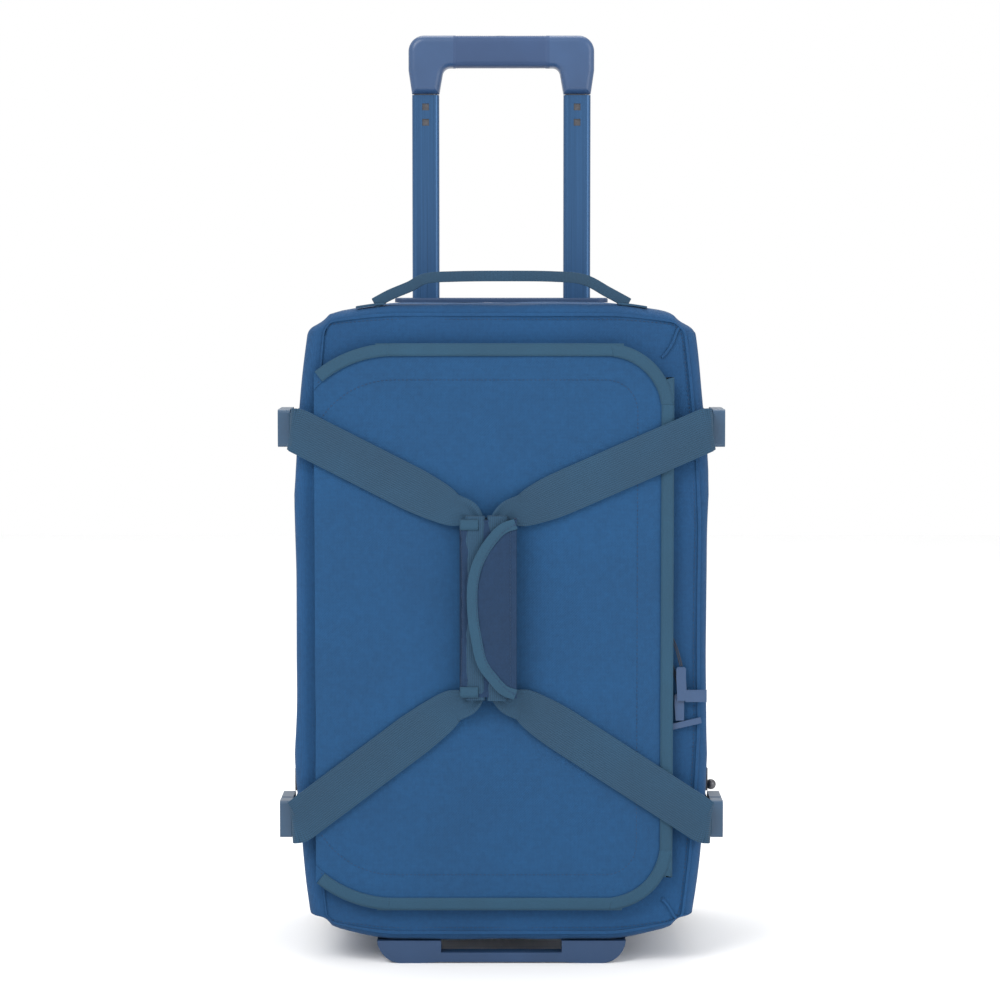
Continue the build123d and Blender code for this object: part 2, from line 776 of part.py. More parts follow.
# the arms' inner lengths lift with the haul handle
for side, name in ((-1, "left"), (1, "right")):
    with BuildPart() as inner:
        add(strap_arms(side, sorted((haul_x + side * fit, haul_x + side * strap_split))))
    keep(inner, f"{name}_strap_inner")

# ---------------------------------------------------------------- haul handle
with BuildPart() as haul_sleeve:
    box_between((haul_left, haul_right), (sleeve_y - sleeve_wall, sleeve_y), (haul_low, haul_high))
    box_between((haul_right - sleeve_wall, haul_right), (tab_y + fit, sleeve_y), (haul_low, haul_high))
keep(haul_sleeve, "haul_sleeve")

with BuildPart() as haul_grips:
    middle = haul_x - sleeve_wall / 2
    for side in (-1, 1):
        with BuildSketch(Plane.XY.offset(haul_low - grip_overrun)):
            grip_x = middle + side * (grip_webbing_width / 2 + 0.4)
            with Locations((grip_x, grips_y - grip_webbing_depth / 2)):
                RectangleRounded(grip_webbing_width, grip_webbing_depth, 3)
        extrude(amount=haul_length + 2 * grip_overrun)
keep(haul_grips, "haul_grips")

with BuildPart() as wrap_tab:
    with BuildSketch(plate_plane(tab_y - tab_thickness)):
        with BuildLine():
            right = haul_right - 0.2
            top, low = (right, haul_high), (right, haul_low)
            reach = haul_left + 6
            ThreePointArc(top, (haul_x - 3, haul_high - tab_curve_height * 0.55), (reach, haul_z + 22))
            turn = (reach + 9, haul_low + tab_curve_height * 0.7)
            Spline((reach, haul_z + 22), (reach + 1.5, haul_z - 8), turn)
            ThreePointArc(turn, (haul_x + 8, haul_low + 13), low)
            Line(low, top)
        make_face()
    extrude(amount=-tab_thickness)
keep(wrap_tab, "wrap_tab")

# ---------------------------------------------------------------- side-release buckles
def buckle_block(side, y_span, z_half, x_half=buckle_thickness / 2):
    """A block centred on each of one side's two buckles."""
    with BuildPart() as blocks:
        for z in (upper_strap_z, lower_strap_z):
            x_span = (side * buckle_x - x_half, side * buckle_x + x_half)
            box_between(x_span, y_span, (z - z_half, z + z_half))
    return blocks.part


half_prong = prong_thickness / 2
half_cavity = half_prong + clip_clearance
for side, name in ((-1, "left"), (1, "right")):
    with BuildPart() as sockets:
        add(buckle_block(side, (socket_y, socket_y + socket_length), buckle_width / 2))
        fillet(sockets.edges().filter_by(Axis.X), 3)
        add(
            buckle_block(side, (socket_y - 1, socket_y + socket_mouth), buckle_width / 2 - 3, half_cavity),
            mode=Mode.SUBTRACT,
        )
        slot = (socket_y + socket_length - 8, socket_y + socket_length - 4)
        add(buckle_block(side, slot, side_webbing_width / 2, 20), mode=Mode.SUBTRACT)
    keep(sockets, f"{name}_buckle_sockets")

    with BuildPart() as clips:
        add(buckle_block(side, (clip_front, clip_y), buckle_width / 2))
        fillet(clips.edges().filter_by(Axis.X), 3)
        for offset in (-9, 0, 9):
            for z in (upper_strap_z, lower_strap_z):
                box_between(
                    (side * buckle_x - half_prong, side * buckle_x + half_prong),
                    (clip_y - 1, clip_y + prong_length),
                    (z + offset - 1.6, z + offset + 1.6),
                )
        slot_y = (clip_front + 4, clip_front + 8)
        add(buckle_block(side, slot_y, side_webbing_width / 2, 20), mode=Mode.SUBTRACT)
    keep(clips, f"{name}_buckle_clips")

    with BuildPart() as side_straps:
        face = half_width + fit
        for z in (upper_strap_z, lower_strap_z):
            box_between(
                sorted((side * face, side * (face + webbing))),
                (socket_y + socket_length - 12, y_back - edge_radius - 2),
                (z - side_webbing_width / 2, z + side_webbing_width / 2),
            )
    keep(side_straps, f"{name}_side_straps")

# ---------------------------------------------------------------- carry handle
with BuildPart() as carry_handle:
    pivot_z = z_top + carry_lift
    arch_z = z_top + carry_rise - carry_thickness / 2
    handle_y = y_front + carry_setback
    half = carry_thickness / 2
    spine = [(-carry_half_span, pivot_z), (-carry_flat_left, arch_z)]
    spine += [(carry_flat_right, arch_z), (carry_half_span, pivot_z)]
    with BuildSketch(plate_plane(handle_y - carry_depth / 2)):
        with BuildLine():
            upper_edge = [(x, z + half) for x, z in spine]
            Polyline(*upper_edge, *[(x, z - half) for x, z in reversed(spine)], close=True)
        make_face()
    extrude(amount=-carry_depth)
    with BuildSketch(Plane.XY.offset(z_top)):
        with BuildLine():
            tip, full = carry_half_span, carry_half_span - 14
            outline = [(full, -carry_depth / 2), (tip, -4), (tip, 4), (full, carry_depth / 2)]
            outline += [(-x, -y) for x, y in outline]
            Polyline(*[(x, handle_y + y) for x, y in outline], close=True)
        make_face()
    extrude(amount=60, mode=Mode.INTERSECT)
keep(carry_handle, "carry_handle")

# ---------------------------------------------------------------- zip sliders and their pulls
chain_x = lid_right - chain_inset
slider_y = tape_front - fit  # back of the sliders
cord_y = slider_y - slider_thickness / 2
slider_z = {"upper": slider_pair_z + slider_spacing / 2, "lower": slider_pair_z - slider_spacing / 2}
nose = slider_width / 2  # the slider's lower end is round about its eye, so the cord can swing
eye_height = {name: z_mid - slider_length / 2 + nose for name, z_mid in slider_z.items()}
for name, z_mid in slider_z.items():
    with BuildPart() as slider:
        box_between(
            (chain_x - nose, chain_x + nose),
            (slider_y - slider_thickness, slider_y),
            (eye_height[name], z_mid + slider_length / 2),
        )
        with Locations(Location((chain_x, cord_y, eye_height[name]), (90, 0, 0))):
            Cylinder(nose, slider_thickness)
            Cylinder(2.2 * cord_radius, 2 * slider_thickness, mode=Mode.SUBTRACT)
    keep(slider, f"{name}_slider")

# each pull hangs on a doubled cord: (x, y, z) of the cord's end at the pull, then the pull's own sizes
pulls = {
    "upper": (lid_right + 6.6, cord_y - 3.9, slider_pair_z - 29.0, t_upper_thickness),
    "lower": (lid_right + 5.4, cord_y - 0.1, slider_pair_z - 52.0, t_lower_thickness),
}
# the two cords run in layers of their own, so either pull can swing past the other
cord_layers = {
    "upper": (lid_back_y + cord_lid_gap + cord_radius, upper_knee_drop),
    "lower": (tape_front - fit - cord_radius, lower_knee_drop),
}
for name, (x, y, z, thickness) in pulls.items():
    layer_y, knee_drop = cord_layers[name]
    with BuildPart() as cord:
        for step in (-1, 1):
            shift = step * leg_spacing / 2
            start = Vector(chain_x + shift, layer_y, eye_height[name] - nose - cord_radius)
            knee = Vector(lid_right + knee_reach + shift, layer_y, eye_height[name] - knee_drop)
            end = Vector(x + shift, y, z + cord_radius)
            first, second = knee - start, end - knee
            half_turn = radians(first.get_angle(second) / 2)
            bend = run_share * min(first.length, second.length) / tan(half_turn)
            with BuildLine():
                run = FilletPolyline(start, knee, end, radius=bend)
            with BuildSketch(Plane(origin=start, z_dir=run % 0)):
                Circle(cord_radius)
            sweep()
            ideal = pi * cord_radius**2 * run.length
            print(name, "pull cord leg: length", round(run.length, 2), "bend", round(bend, 1))
            print("  ideal volume", round(ideal, 1))
            print("  route", [tuple(round(value, 2) for value in point) for point in (start, knee, end)])
    keep(cord, f"{name}_pull_cord")

    with BuildPart() as pull:
        near = y - thickness / 2
        with BuildSketch(plate_plane(near)):
            with Locations((x, z - t_stem_length / 2)):
                RectangleRounded(t_stem_width + 3, t_stem_length, 2)
            if name == "upper":
                with BuildLine():
                    Polyline((x - 4, z - 9), (x - 3, z - 28), (x + 5, z - 28), (x + 4, z - 9), close=True)
                make_face()
                with Locations((x + t_bar_width / 2, z - 24)):
                    Rectangle(t_bar_width * 0.7, t_bar_height * 2)
            else:
                with BuildLine():
                    Polyline((x - 4, z - 9), (x - 3, z - 22), (x + 4, z - 22), (x + 4, z - 9), close=True)
                make_face()
                with Locations(Location((x + 6, z - 24.5, 0), (0, 0, 13))):
                    Rectangle(t_bar_width, t_bar_height)
        extrude(amount=-thickness)
    keep(pull, f"{name}_pull")

# ---------------------------------------------------------------- pocket zips on the sides
for side, name in ((-1, "left"), (1, "right")):
    face = half_width + pocket_tape_thickness
    with BuildPart() as pocket_zip:
        box_between(
            sorted((side * half_width, side * face)),
            (pocket_y - pocket_tape_width / 2, pocket_y + pocket_tape_width / 2),
            (pocket_low, pocket_high),
        )
    keep(pocket_zip, f"{name}_pocket_zip")

    slider_low = pocket_low + 5
    pocket_pin_z = slider_low + slider_length / 2
    slider_x = sorted((side * (face + fit), side * (face + fit + slider_thickness)))
    with BuildPart() as pocket_slider:
        box_between(slider_x, (pocket_y - 4.5, pocket_y + 4.5), (slider_low, slider_low + slider_length))
    keep(pocket_slider, f"{name}_pocket_slider")

    pull_x = side * (face + fit + slider_thickness + fit)
    with BuildPart() as pocket_pull:
        box_between(
            sorted((pull_x, pull_x + side * pocket_pull_thickness)),
            (pocket_y - pocket_pull_width / 2, pocket_y + pocket_pull_width / 2),
            (slider_low - 12, pocket_pin_z),
        )
        pin_x = pull_x + side * pocket_pull_thickness / 2
        with Locations(Location((pin_x, pocket_y, pocket_pin_z), (90, 0, 0))):
            Cylinder(pocket_pull_thickness / 2, pocket_pull_width)
        if side > 0:
            with Locations((pull_x + bead_radius, pocket_y, slider_low - 7)):
                Sphere(bead_radius)
    keep(pocket_pull, f"{name}_pocket_pull")
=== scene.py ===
# %% [markdown]
# # A strapped travel case
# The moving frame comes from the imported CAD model. Everything made here is placed by asking that frame
# where its pieces are, so nothing has to be fitted by eye. The hard parts keep their CAD shape and get a
# finish. The sewn parts are made again as cloth: panels that swell and tuck in, webbing that twists into
# the grab handle, and rows of real stitches.

# %% Load the frame
import math

import bmesh
import bpy
from mathutils import Matrix, Vector, noise


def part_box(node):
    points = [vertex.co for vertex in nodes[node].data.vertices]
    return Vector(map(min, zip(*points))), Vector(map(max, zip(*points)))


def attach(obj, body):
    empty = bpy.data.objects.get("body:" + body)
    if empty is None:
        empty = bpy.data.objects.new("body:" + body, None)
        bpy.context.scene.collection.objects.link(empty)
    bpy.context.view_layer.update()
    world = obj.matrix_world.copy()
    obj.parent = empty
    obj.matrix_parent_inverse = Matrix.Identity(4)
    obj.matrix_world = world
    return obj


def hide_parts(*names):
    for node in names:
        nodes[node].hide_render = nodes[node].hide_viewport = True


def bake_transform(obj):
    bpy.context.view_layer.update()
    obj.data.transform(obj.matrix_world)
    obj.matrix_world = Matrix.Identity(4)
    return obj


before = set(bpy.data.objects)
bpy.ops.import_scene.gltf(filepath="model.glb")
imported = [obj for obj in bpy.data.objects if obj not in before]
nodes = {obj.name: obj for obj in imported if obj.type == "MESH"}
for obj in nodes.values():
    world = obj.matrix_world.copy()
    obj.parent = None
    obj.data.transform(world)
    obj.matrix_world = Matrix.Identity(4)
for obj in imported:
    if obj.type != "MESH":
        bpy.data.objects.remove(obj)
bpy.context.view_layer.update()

scene = bpy.context.scene

# %% [markdown]
# ## Where things are
# A few places are read from the CAD boxes once and given plain names. The case's front face, its floor
# line and the hinge seam are enough to lay out every sewn piece.

# %% Places on the case
panel_low, panel_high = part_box("front_panel")
_, side_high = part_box("right_side_panel")
_, top_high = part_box("top_panel")
bottom_low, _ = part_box("bottom_panel")
_, back_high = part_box("back_panel")
lid_low, lid_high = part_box("lid_binding")
strap_low, strap_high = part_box("left_straps")
sleeve_low, sleeve_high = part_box("haul_sleeve")
tab_low, tab_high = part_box("wrap_tab")
grips_low, grips_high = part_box("haul_grips")
clip_low, clip_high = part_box("right_buckle_clips")

front = panel_low.y
back = back_high.y
half_width = side_high.x
floor_line, roof = bottom_low.z, top_high.z
middle_z = (floor_line + roof) / 2
middle_y = (front + back) / 2
hinge_x = panel_low.x
lid_right, lid_top, lid_bottom = lid_high.x, lid_high.z, lid_low.z
strap_y = (strap_low.y + strap_high.y) / 2
buckle_x = (clip_low.x + clip_high.x) / 2
print("front", round(front, 4), "roof", round(roof, 4), "hinge seam", round(hinge_x, 4))

# %% [markdown]
# ## Camera, light and floor
# A long lens a couple of metres away keeps the sides of the case from spreading. The camera stands a
# little above the top panel and looks slightly down. Big soft lamps and a pale floor give the even light
# of a studio.

# %% Camera
view_distance = 2.45
eye_height = 0.575
aim_height = 0.389
frame_width = 0.826
camera_side = -0.0012

camera_data = bpy.data.cameras.new("camera")
camera = bpy.data.objects.new("camera", camera_data)
scene.collection.objects.link(camera)
camera.location = (camera_side, front - view_distance, eye_height)
camera.rotation_euler = (math.pi / 2 - math.atan((eye_height - aim_height) / view_distance), 0, 0)
camera_data.sensor_width = 36
camera_data.lens = 36 * math.hypot(view_distance, eye_height - aim_height) / frame_width
scene.camera = camera
print("lens", round(camera_data.lens, 1))

# %% Light and floor
scene.view_settings.view_transform = "Standard"
world = bpy.data.worlds.new("studio")
world.use_nodes = True
world.node_tree.nodes["Background"].inputs["Color"].default_value = (1, 1, 1, 1)
world.node_tree.nodes["Background"].inputs["Strength"].default_value = 1.0
scene.world = world


def soft_lamp(name, place, aim, size, power):
    """A square area lamp turned towards a point."""
    data = bpy.data.lights.new(name, "AREA")
    data.shape, data.size, data.energy = "SQUARE", size, power
    lamp = bpy.data.objects.new(name, data)
    lamp.location = place
    lamp.rotation_euler = (Vector(aim) - Vector(place)).to_track_quat("-Z", "Y").to_euler()
    scene.collection.objects.link(lamp)
    return lamp


soft_lamp("key_lamp", (-1.5, -2.2, 2.4), (0, 0, 0.4), 1.6, 62)
soft_lamp("fill_lamp", (2.1, -1.9, 1.3), (0, 0, 0.4), 1.8, 30)
soft_lamp("top_lamp", (0, 0.8, 2.6), (0, 0, 0.5), 1.6, 26)

floor_shape = bmesh.new()
bmesh.ops.create_grid(floor_shape, x_segments=2, y_segments=2, size=4.0)
floor_mesh = bpy.data.meshes.new("floor")
floor_shape.to_mesh(floor_mesh)
floor_shape.free()
floor = bpy.data.objects.new("floor", floor_mesh)
scene.collection.objects.link(floor)

# %% [markdown]
# ## Finishes: a short way to write shader maths
# A shader is a graph, but its maths reads best as an expression. `Reading` wraps one socket and lets
# Python's own operators add the Math nodes. `Finish` owns a material and makes any other node.

# %% Reading and Finish
class Reading:
    """A number that varies over a surface."""

    def __init__(self, tree, socket):
        self.tree, self.socket = tree, socket

    def maths(self, operation, *values):
        node = self.tree.nodes.new("ShaderNodeMath")
        node.operation = operation
        for slot, value in zip(node.inputs, values):
            if isinstance(value, Reading):
                self.tree.links.new(value.socket, slot)
            else:
                slot.default_value = value
        return Reading(self.tree, node.outputs[0])

    def __add__(self, other):
        return self.maths("ADD", self, other)

    def __radd__(self, other):
        return self.maths("ADD", other, self)

    def __sub__(self, other):
        return self.maths("SUBTRACT", self, other)

    def __rsub__(self, other):
        return self.maths("SUBTRACT", other, self)

    def __mul__(self, other):
        return self.maths("MULTIPLY", self, other)

    def __rmul__(self, other):
        return self.maths("MULTIPLY", other, self)

    def __gt__(self, other):
        return self.maths("GREATER_THAN", self, other)

    def __pow__(self, other):
        return self.maths("POWER", self, other)

    def wave(self):
        """Sine of the value."""
        return self.maths("SINE", self)

    def size(self):
        """The value without its sign."""
        return self.maths("ABSOLUTE", self)

    def held(self):
        """The value kept between 0 and 1."""
        return self.maths("MINIMUM", self.maths("MAXIMUM", self, 0.0), 1.0)


class Finish:
    """One material, built round a Principled shader."""

    def __init__(self, name, **fixed):
        self.material = bpy.data.materials.new(name)
        self.material.use_nodes = True
        self.tree = self.material.node_tree
        self.shader = self.tree.nodes["Principled BSDF"]
        for socket, value in fixed.items():
            self.shader.inputs[socket.replace("_", " ")].default_value = value

    def node(self, kind, settings=None, inputs=None):
        made = self.tree.nodes.new(kind)
        for key, value in (settings or {}).items():
            if key == "stops":
                ramp = made.color_ramp
                while len(ramp.elements) < len(value):
                    ramp.elements.new(0.5)
                for element, (place, colour) in zip(ramp.elements, value):
                    element.position, element.color = place, (*colour, 1)
            else:
                setattr(made, key, value)
        for key, value in (inputs or {}).items():
            if isinstance(value, Reading):
                self.tree.links.new(value.socket, made.inputs[key])
            elif isinstance(value, bpy.types.NodeSocket):
                self.tree.links.new(value, made.inputs[key])
            else:
                made.inputs[key].default_value = value
        return made

    def reading(self, socket):
        return Reading(self.tree, socket)

    def place(self, cloth_map=None):
        """x, y and z of the surface point, from the object or from a named UV map."""
        if cloth_map:
            source = self.node("ShaderNodeUVMap", {"uv_map": cloth_map}).outputs["UV"]
        else:
            source = self.node("ShaderNodeTexCoord").outputs["Object"]
        split = self.node("ShaderNodeSeparateXYZ", inputs={"Vector": source})
        self.vector = source
        return [self.reading(split.outputs[i]) for i in range(3)]

    def cloud(self, scale, detail=3.0, rough=0.55):
        """Soft noise between about 0 and 1."""
        made = self.node(
            "ShaderNodeTexNoise",
            inputs={"Vector": self.vector, "Scale": scale, "Detail": detail, "Roughness": rough},
        )
        return self.reading(made.outputs[0])

    def feed(self, colour=None, rough=None, height=None, depth=0.0003, strength=0.6):
        """Link the varying colour, roughness and bump height to the shader."""
        if colour is not None:
            self.tree.links.new(colour, self.shader.inputs["Base Color"])
        if rough is not None:
            self.tree.links.new(rough.socket, self.shader.inputs["Roughness"])
        if height is not None:
            bump = self.node("ShaderNodeBump",
                inputs={"Height": height, "Strength": strength, "Distance": depth})
            self.tree.links.new(bump.outputs["Normal"], self.shader.inputs["Normal"])
        return self.material

    def shades(self, amount, stops):
        """A colour chosen along a ramp by a reading."""
        return self.node("ShaderNodeValToRGB", {"stops": stops}, {"Fac": amount}).outputs["Color"]


def tint(colour, factor):
    """A colour made lighter or darker."""
    return tuple(min(1, channel * factor) for channel in colour)


print("shader helpers ready")

# %% [markdown]
# ## Cloth and webbing
# The shell is a plain weave of thick yarn: each yarn goes over one neighbour and under the next, which a
# checker of two sine waves gives. Its blue is uneven because the yarn takes dye unevenly, so slow noise
# moves the colour a little. Webbing is woven as narrow cords side by side, crossed by fine ribs.

# %% Woven shell cloth
def woven(name, colour, yarn=0.0011, rough=0.82, depth=0.00022, mottle=0.16):
    cloth = Finish(name, Specular_IOR_Level=0.25, Sheen_Weight=0.04, Sheen_Roughness=0.5)
    x, y, z = cloth.place()
    across, up = (x + y) * (math.pi / yarn), (z + y * 0.7) * (math.pi / yarn)
    over = (across.wave() * up.wave()) > 0.0
    relief = across.wave().size() * over + up.wave().size() * (1 - over)
    slow, fine = cloth.cloud(9, 4), cloth.cloud(260, 2)
    shade = (relief * 0.30 + slow * mottle * 3 + fine * 0.38 - 0.08).held()
    hue = cloth.shades(shade, [(0.0, tint(colour, 0.62)), (0.5, colour), (1.0, tint(colour, 1.5))])
    creases = cloth.cloud(30, 3)
    return cloth.feed(hue, (rough + slow * 0.12 - 0.06).held(), relief + fine * 0.8 + creases * 6, depth)


shell_cloth = woven("shell_cloth", (0.0082, 0.0515, 0.136))
lid_cloth = woven("lid_cloth", (0.0082, 0.0520, 0.134))
wrap_cloth = woven("wrap_cloth", (0.0090, 0.0300, 0.0740), mottle=0.1)
lining_cloth = woven("lining_cloth", (0.020, 0.032, 0.060), yarn=0.0007)

# %% Webbing and binding
def webbing(name, colour, cord=0.0017, rib=0.0011, depth=0.0003):
    """Cords along the tape and ribs across it. Both follow the tape's own map."""
    tape = Finish(name, Specular_IOR_Level=0.3, Sheen_Weight=0.03)
    along, across, _ = tape.place("tape")
    cords = (across * (math.pi / cord)).wave().size()
    ribs = (along * (math.pi / rib) + cords * 1.2).wave().size()
    slow, fine = tape.cloud(14, 3), tape.cloud(900, 2)
    shade = (cords * 0.30 + ribs * 0.26 + slow * 0.35 + fine * 0.2 - 0.06).held()
    hue = tape.shades(shade, [(0.0, tint(colour, 0.45)), (0.55, colour), (1.0, tint(colour, 1.7))])
    return tape.feed(hue, (0.66 + slow * 0.16).held(), cords + ribs * 0.7 + fine * 0.4, depth)


strap_webbing = webbing("strap_webbing", (0.0125, 0.0450, 0.0860))
edge_binding = webbing("edge_binding", (0.0135, 0.0530, 0.0960), cord=0.0009, rib=0.0008, depth=0.0002)
print("cloth finishes ready")

# %% [markdown]
# ## Moulded plastic, metal and rubber
# Moulded parts have a spark-eroded texture, fine and even, with slightly polished high spots where
# hands touch. The anodised tubes are brushed along their length. Rubber is dull with faint dust.

# %% Moulded and metal finishes
def moulded(name, colour, rough=0.42, grain=1500, depth=0.00006, coat=0.0):
    plastic = Finish(name, Specular_IOR_Level=0.45, Coat_Roughness=0.3, Coat_Weight=coat)
    plastic.place()
    fine, slow = plastic.cloud(grain, 2), plastic.cloud(18, 3)
    hue = plastic.shades(slow, [(0.25, tint(colour, 0.86)), (0.55, colour), (0.8, tint(colour, 1.16))])
    return plastic.feed(hue, (rough + fine * 0.1 + slow * 0.12 - 0.1).held(), fine, depth)


def brushed(name, colour, metallic=0.75, rough=0.32, stretch=(900, 900, 6)):
    metal = Finish(name, Metallic=metallic)
    metal.place()
    lines = metal.node("ShaderNodeMapping", inputs={"Vector": metal.vector, "Scale": stretch})
    metal.vector = lines.outputs["Vector"]
    streak = metal.cloud(1.0, 3)
    hue = metal.shades(streak, [(0.3, tint(colour, 0.88)), (0.7, tint(colour, 1.12))])
    return metal.feed(hue, (rough + streak * 0.16 - 0.08).held(), streak, 0.00002, 0.4)


grip_plastic = moulded("grip_plastic", (0.024, 0.062, 0.148), rough=0.38, coat=0.15)
rib_rubber = moulded("rib_rubber", (0.022, 0.054, 0.134), rough=0.58)
stand_plastic = moulded("stand_plastic", (0.013, 0.042, 0.106), rough=0.46)
pull_plastic = moulded("pull_plastic", (0.026, 0.062, 0.140), rough=0.40)
buckle_plastic = moulded("buckle_plastic", (0.026, 0.068, 0.128), rough=0.36, coat=0.1)
dark_plastic = moulded("dark_plastic", (0.016, 0.020, 0.030), rough=0.5)
board_plastic = moulded("board_plastic", (0.050, 0.052, 0.056), rough=0.6, grain=500)
tyre_rubber = moulded("tyre_rubber", (0.014, 0.014, 0.015), rough=0.78, grain=700)
blue_tube = brushed("blue_tube", (0.025, 0.080, 0.182), metallic=0.55, rough=0.30)
plain_tube = brushed("plain_tube", (0.42, 0.43, 0.46), metallic=0.95)
# The inner tubes wear this too: its dark colour there is painted shade for the recesses seen through the
# middle tubes' windows.
zip_metal = brushed("zip_metal", (0.10, 0.10, 0.11), metallic=0.9, rough=0.36, stretch=(300, 300, 300))
steel = brushed("steel", (0.52, 0.52, 0.53), metallic=1.0, stretch=(400, 400, 400))
thread = moulded("thread", (0.0060, 0.0300, 0.0800), rough=0.7, grain=3000)
cord_braid = moulded("cord_braid", (0.016, 0.024, 0.040), rough=0.75, grain=2500)
floor_finish = Finish("floor_finish", Roughness=0.9, Specular_IOR_Level=0.1)
floor_finish.place()
floor_finish.feed(floor_finish.shades(floor_finish.cloud(3, 2),
    [(0.0, (0.90, 0.90, 0.90)), (1.0, (0.93, 0.93, 0.93))]))
floor.data.materials.append(floor_finish.material)
print("hard finishes ready")

# %% [markdown]
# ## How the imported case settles
# A filled soft case isn't a box. Its walls swell at mid height and its corners tuck in, because the
# gusset is one long band pulled tight round them. One function moves every sewn shell piece, so seams
# that meet in the CAD still meet afterwards. The front and back faces keep their depth, so the lid and the
# hard fittings on them still fit.

# %% The settling of the shell
def ease(value, start, end):
    """0 before start, 1 after end, smooth between."""
    t = min(1, max(0, (value - start) / (end - start)))
    return t * t * (3 - 2 * t)


def settled(point):
    """Where a point of the stiff shell lies on the soft one."""
    u = point.x / half_width
    v = (point.z - middle_z) / (roof - middle_z)
    w = (point.y - middle_y) / (back - middle_y)
    side = ease(abs(u), 0.78, 0.97)
    end = ease(abs(v), 0.90, 1.0)
    forward = 1 - ease(w, 0.1, 0.7)
    tuck = -0.0035 + 0.0175 * abs(v) ** 2.4 + 0.0025 * abs(w) ** 6
    drop = (0.010 if v > 0 else 0.015 * forward) * ease(abs(u), 0.50, 1.0)
    moved = point.copy()
    moved.x -= math.copysign(tuck * side, u)
    moved.z -= math.copysign(drop * end, v)
    return moved


def wrinkled(point, normal, amount, size=22.0, seed=0.0):
    """A point pushed along its normal by slow folds."""
    place = Vector((point.x * size + seed, point.y * size, point.z * size * 0.7))
    return point + normal * (noise.noise(place) * amount)


# %% Making pieces
def fresh_copy(node, steps):
    """The CAD node's mesh, merged and cut into a grid fine enough to bend."""
    shape = bmesh.new()
    shape.from_mesh(nodes[node].data)
    bmesh.ops.remove_doubles(shape, verts=shape.verts, dist=1e-6)
    bmesh.ops.dissolve_limit(shape, angle_limit=0.01, verts=shape.verts, edges=shape.edges)
    low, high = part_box(node)
    for axis, step in enumerate(steps):
        count = max(1, round((high[axis] - low[axis]) / step)) if step else 1
        for index in range(1, count):
            place, normal = low.copy(), Vector((0, 0, 0))
            place[axis] += (high[axis] - low[axis]) * index / count
            normal[axis] = 1
            geometry = shape.verts[:] + shape.edges[:] + shape.faces[:]
            bmesh.ops.bisect_plane(shape, geom=geometry, plane_co=place, plane_no=normal)
    bmesh.ops.triangulate(shape, faces=[f for f in shape.faces if len(f.verts) > 4])
    return shape


def piece(shape, name, body, finish, stands_for=(), smooth=40):
    """Turn a bmesh into an object that rides on a body."""
    mesh = bpy.data.meshes.new(name)
    shape.to_mesh(mesh)
    shape.free()
    made = bpy.data.objects.new(name, mesh)
    scene.collection.objects.link(made)
    mesh.materials.append(finish)
    mesh.shade_smooth()
    mesh.set_sharp_from_angle(angle=math.radians(smooth))
    if body:
        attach(made, body)
    if stands_for:
        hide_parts(*stands_for)
    return made


def soften(node, body, finish, steps, fold=0.0008, settle=True, seed=0.0):
    """A sewn piece in the shape of its CAD solid, settled and creased.
    """
    shape = fresh_copy(node, steps)
    shape.normal_update()
    for vertex in shape.verts:
        moved = wrinkled(vertex.co, vertex.normal, fold, seed=seed)
        vertex.co = settled(moved) if settle else moved
    made = piece(shape, node + "_cloth", body, finish, [node])
    return made


# %% [markdown]
# ## The shell panels
# The front frame, the back and the four gusset panels are flat cloth backed with foam. Cutting each CAD
# solid into a grid lets it swell and crease like a filled case without losing its seams.

# %% Shell panels
for node, seed in (
    ("front_panel", 1.0),
    ("left_side_panel", 2.0),
    ("right_side_panel", 3.0),
    ("top_panel", 4.0),
    ("bottom_panel", 5.0),
    ("back_panel", 6.0),
):
    made = soften(node, "case", shell_cloth, (0.009, 0.009, 0.009), 0.0011, seed=seed)
    print(made.name, len(made.data.polygons))

soften("piping", "case", shell_cloth, (0.009, 0.02, 0.009), 0.0)
soften("base_board", "case", board_plastic, (0.009, 0.009, 0), 0.0)

# %% [markdown]
# ## The lid
# The lid is a foam pad in the same cloth with a wide binding sewn round its three free edges. It lies
# almost flat, because the harness holds it down, and only its edges lift and fall a little.

# %% Lid
def lid_lie(point):
    """The lid's edge curls back towards the case a little."""
    right = ease(point.x, lid_right - 0.03, lid_right)
    top = ease(abs(point.z - (lid_top + lid_bottom) / 2), (lid_top - lid_bottom) / 2 - 0.03,
        (lid_top - lid_bottom) / 2)
    moved = point.copy()
    moved.y += 0.0016 * max(right, top) + 0.0003 * math.sin(point.z * 60) * right
    return moved


for node, finish, slot in (("lid_panel", lid_cloth, "fabric_blue"),
        ("lid_binding", lid_cloth, "binding_blue")):
    shape = fresh_copy(node, (0.008, 0, 0.008))
    shape.normal_update()
    for vertex in shape.verts:
        vertex.co = lid_lie(wrinkled(vertex.co, vertex.normal, 0.0004, 18))
    made = piece(shape, node + "_cloth", "lid", finish, [node])
    print(made.name, len(made.data.polygons))
soften("lid_lining", "lid", lining_cloth, (0.012, 0, 0.012), 0.0009, settle=False)

# %% [markdown]
# ## Stitches
# A row of stitching is hundreds of short thread bumps, each dipping into the cloth at both ends. One
# small capsule is copied along a line, so a seam is real geometry that catches the light. Each copy has
# only a handful of faces.

# %% Rows of stitches
def along_line(points, pitch):
    """Evenly spaced places and directions along a run of points."""
    places, carried = [], 0.0
    for start, finish in zip(points, points[1:]):
        length = (finish - start).length
        if length < 1e-9:
            continue
        direction = (finish - start) / length
        at = (pitch - carried) % pitch
        while at < length:
            places.append((start + direction * at, direction))
            at += pitch
        carried = (carried + length) % pitch
    return places


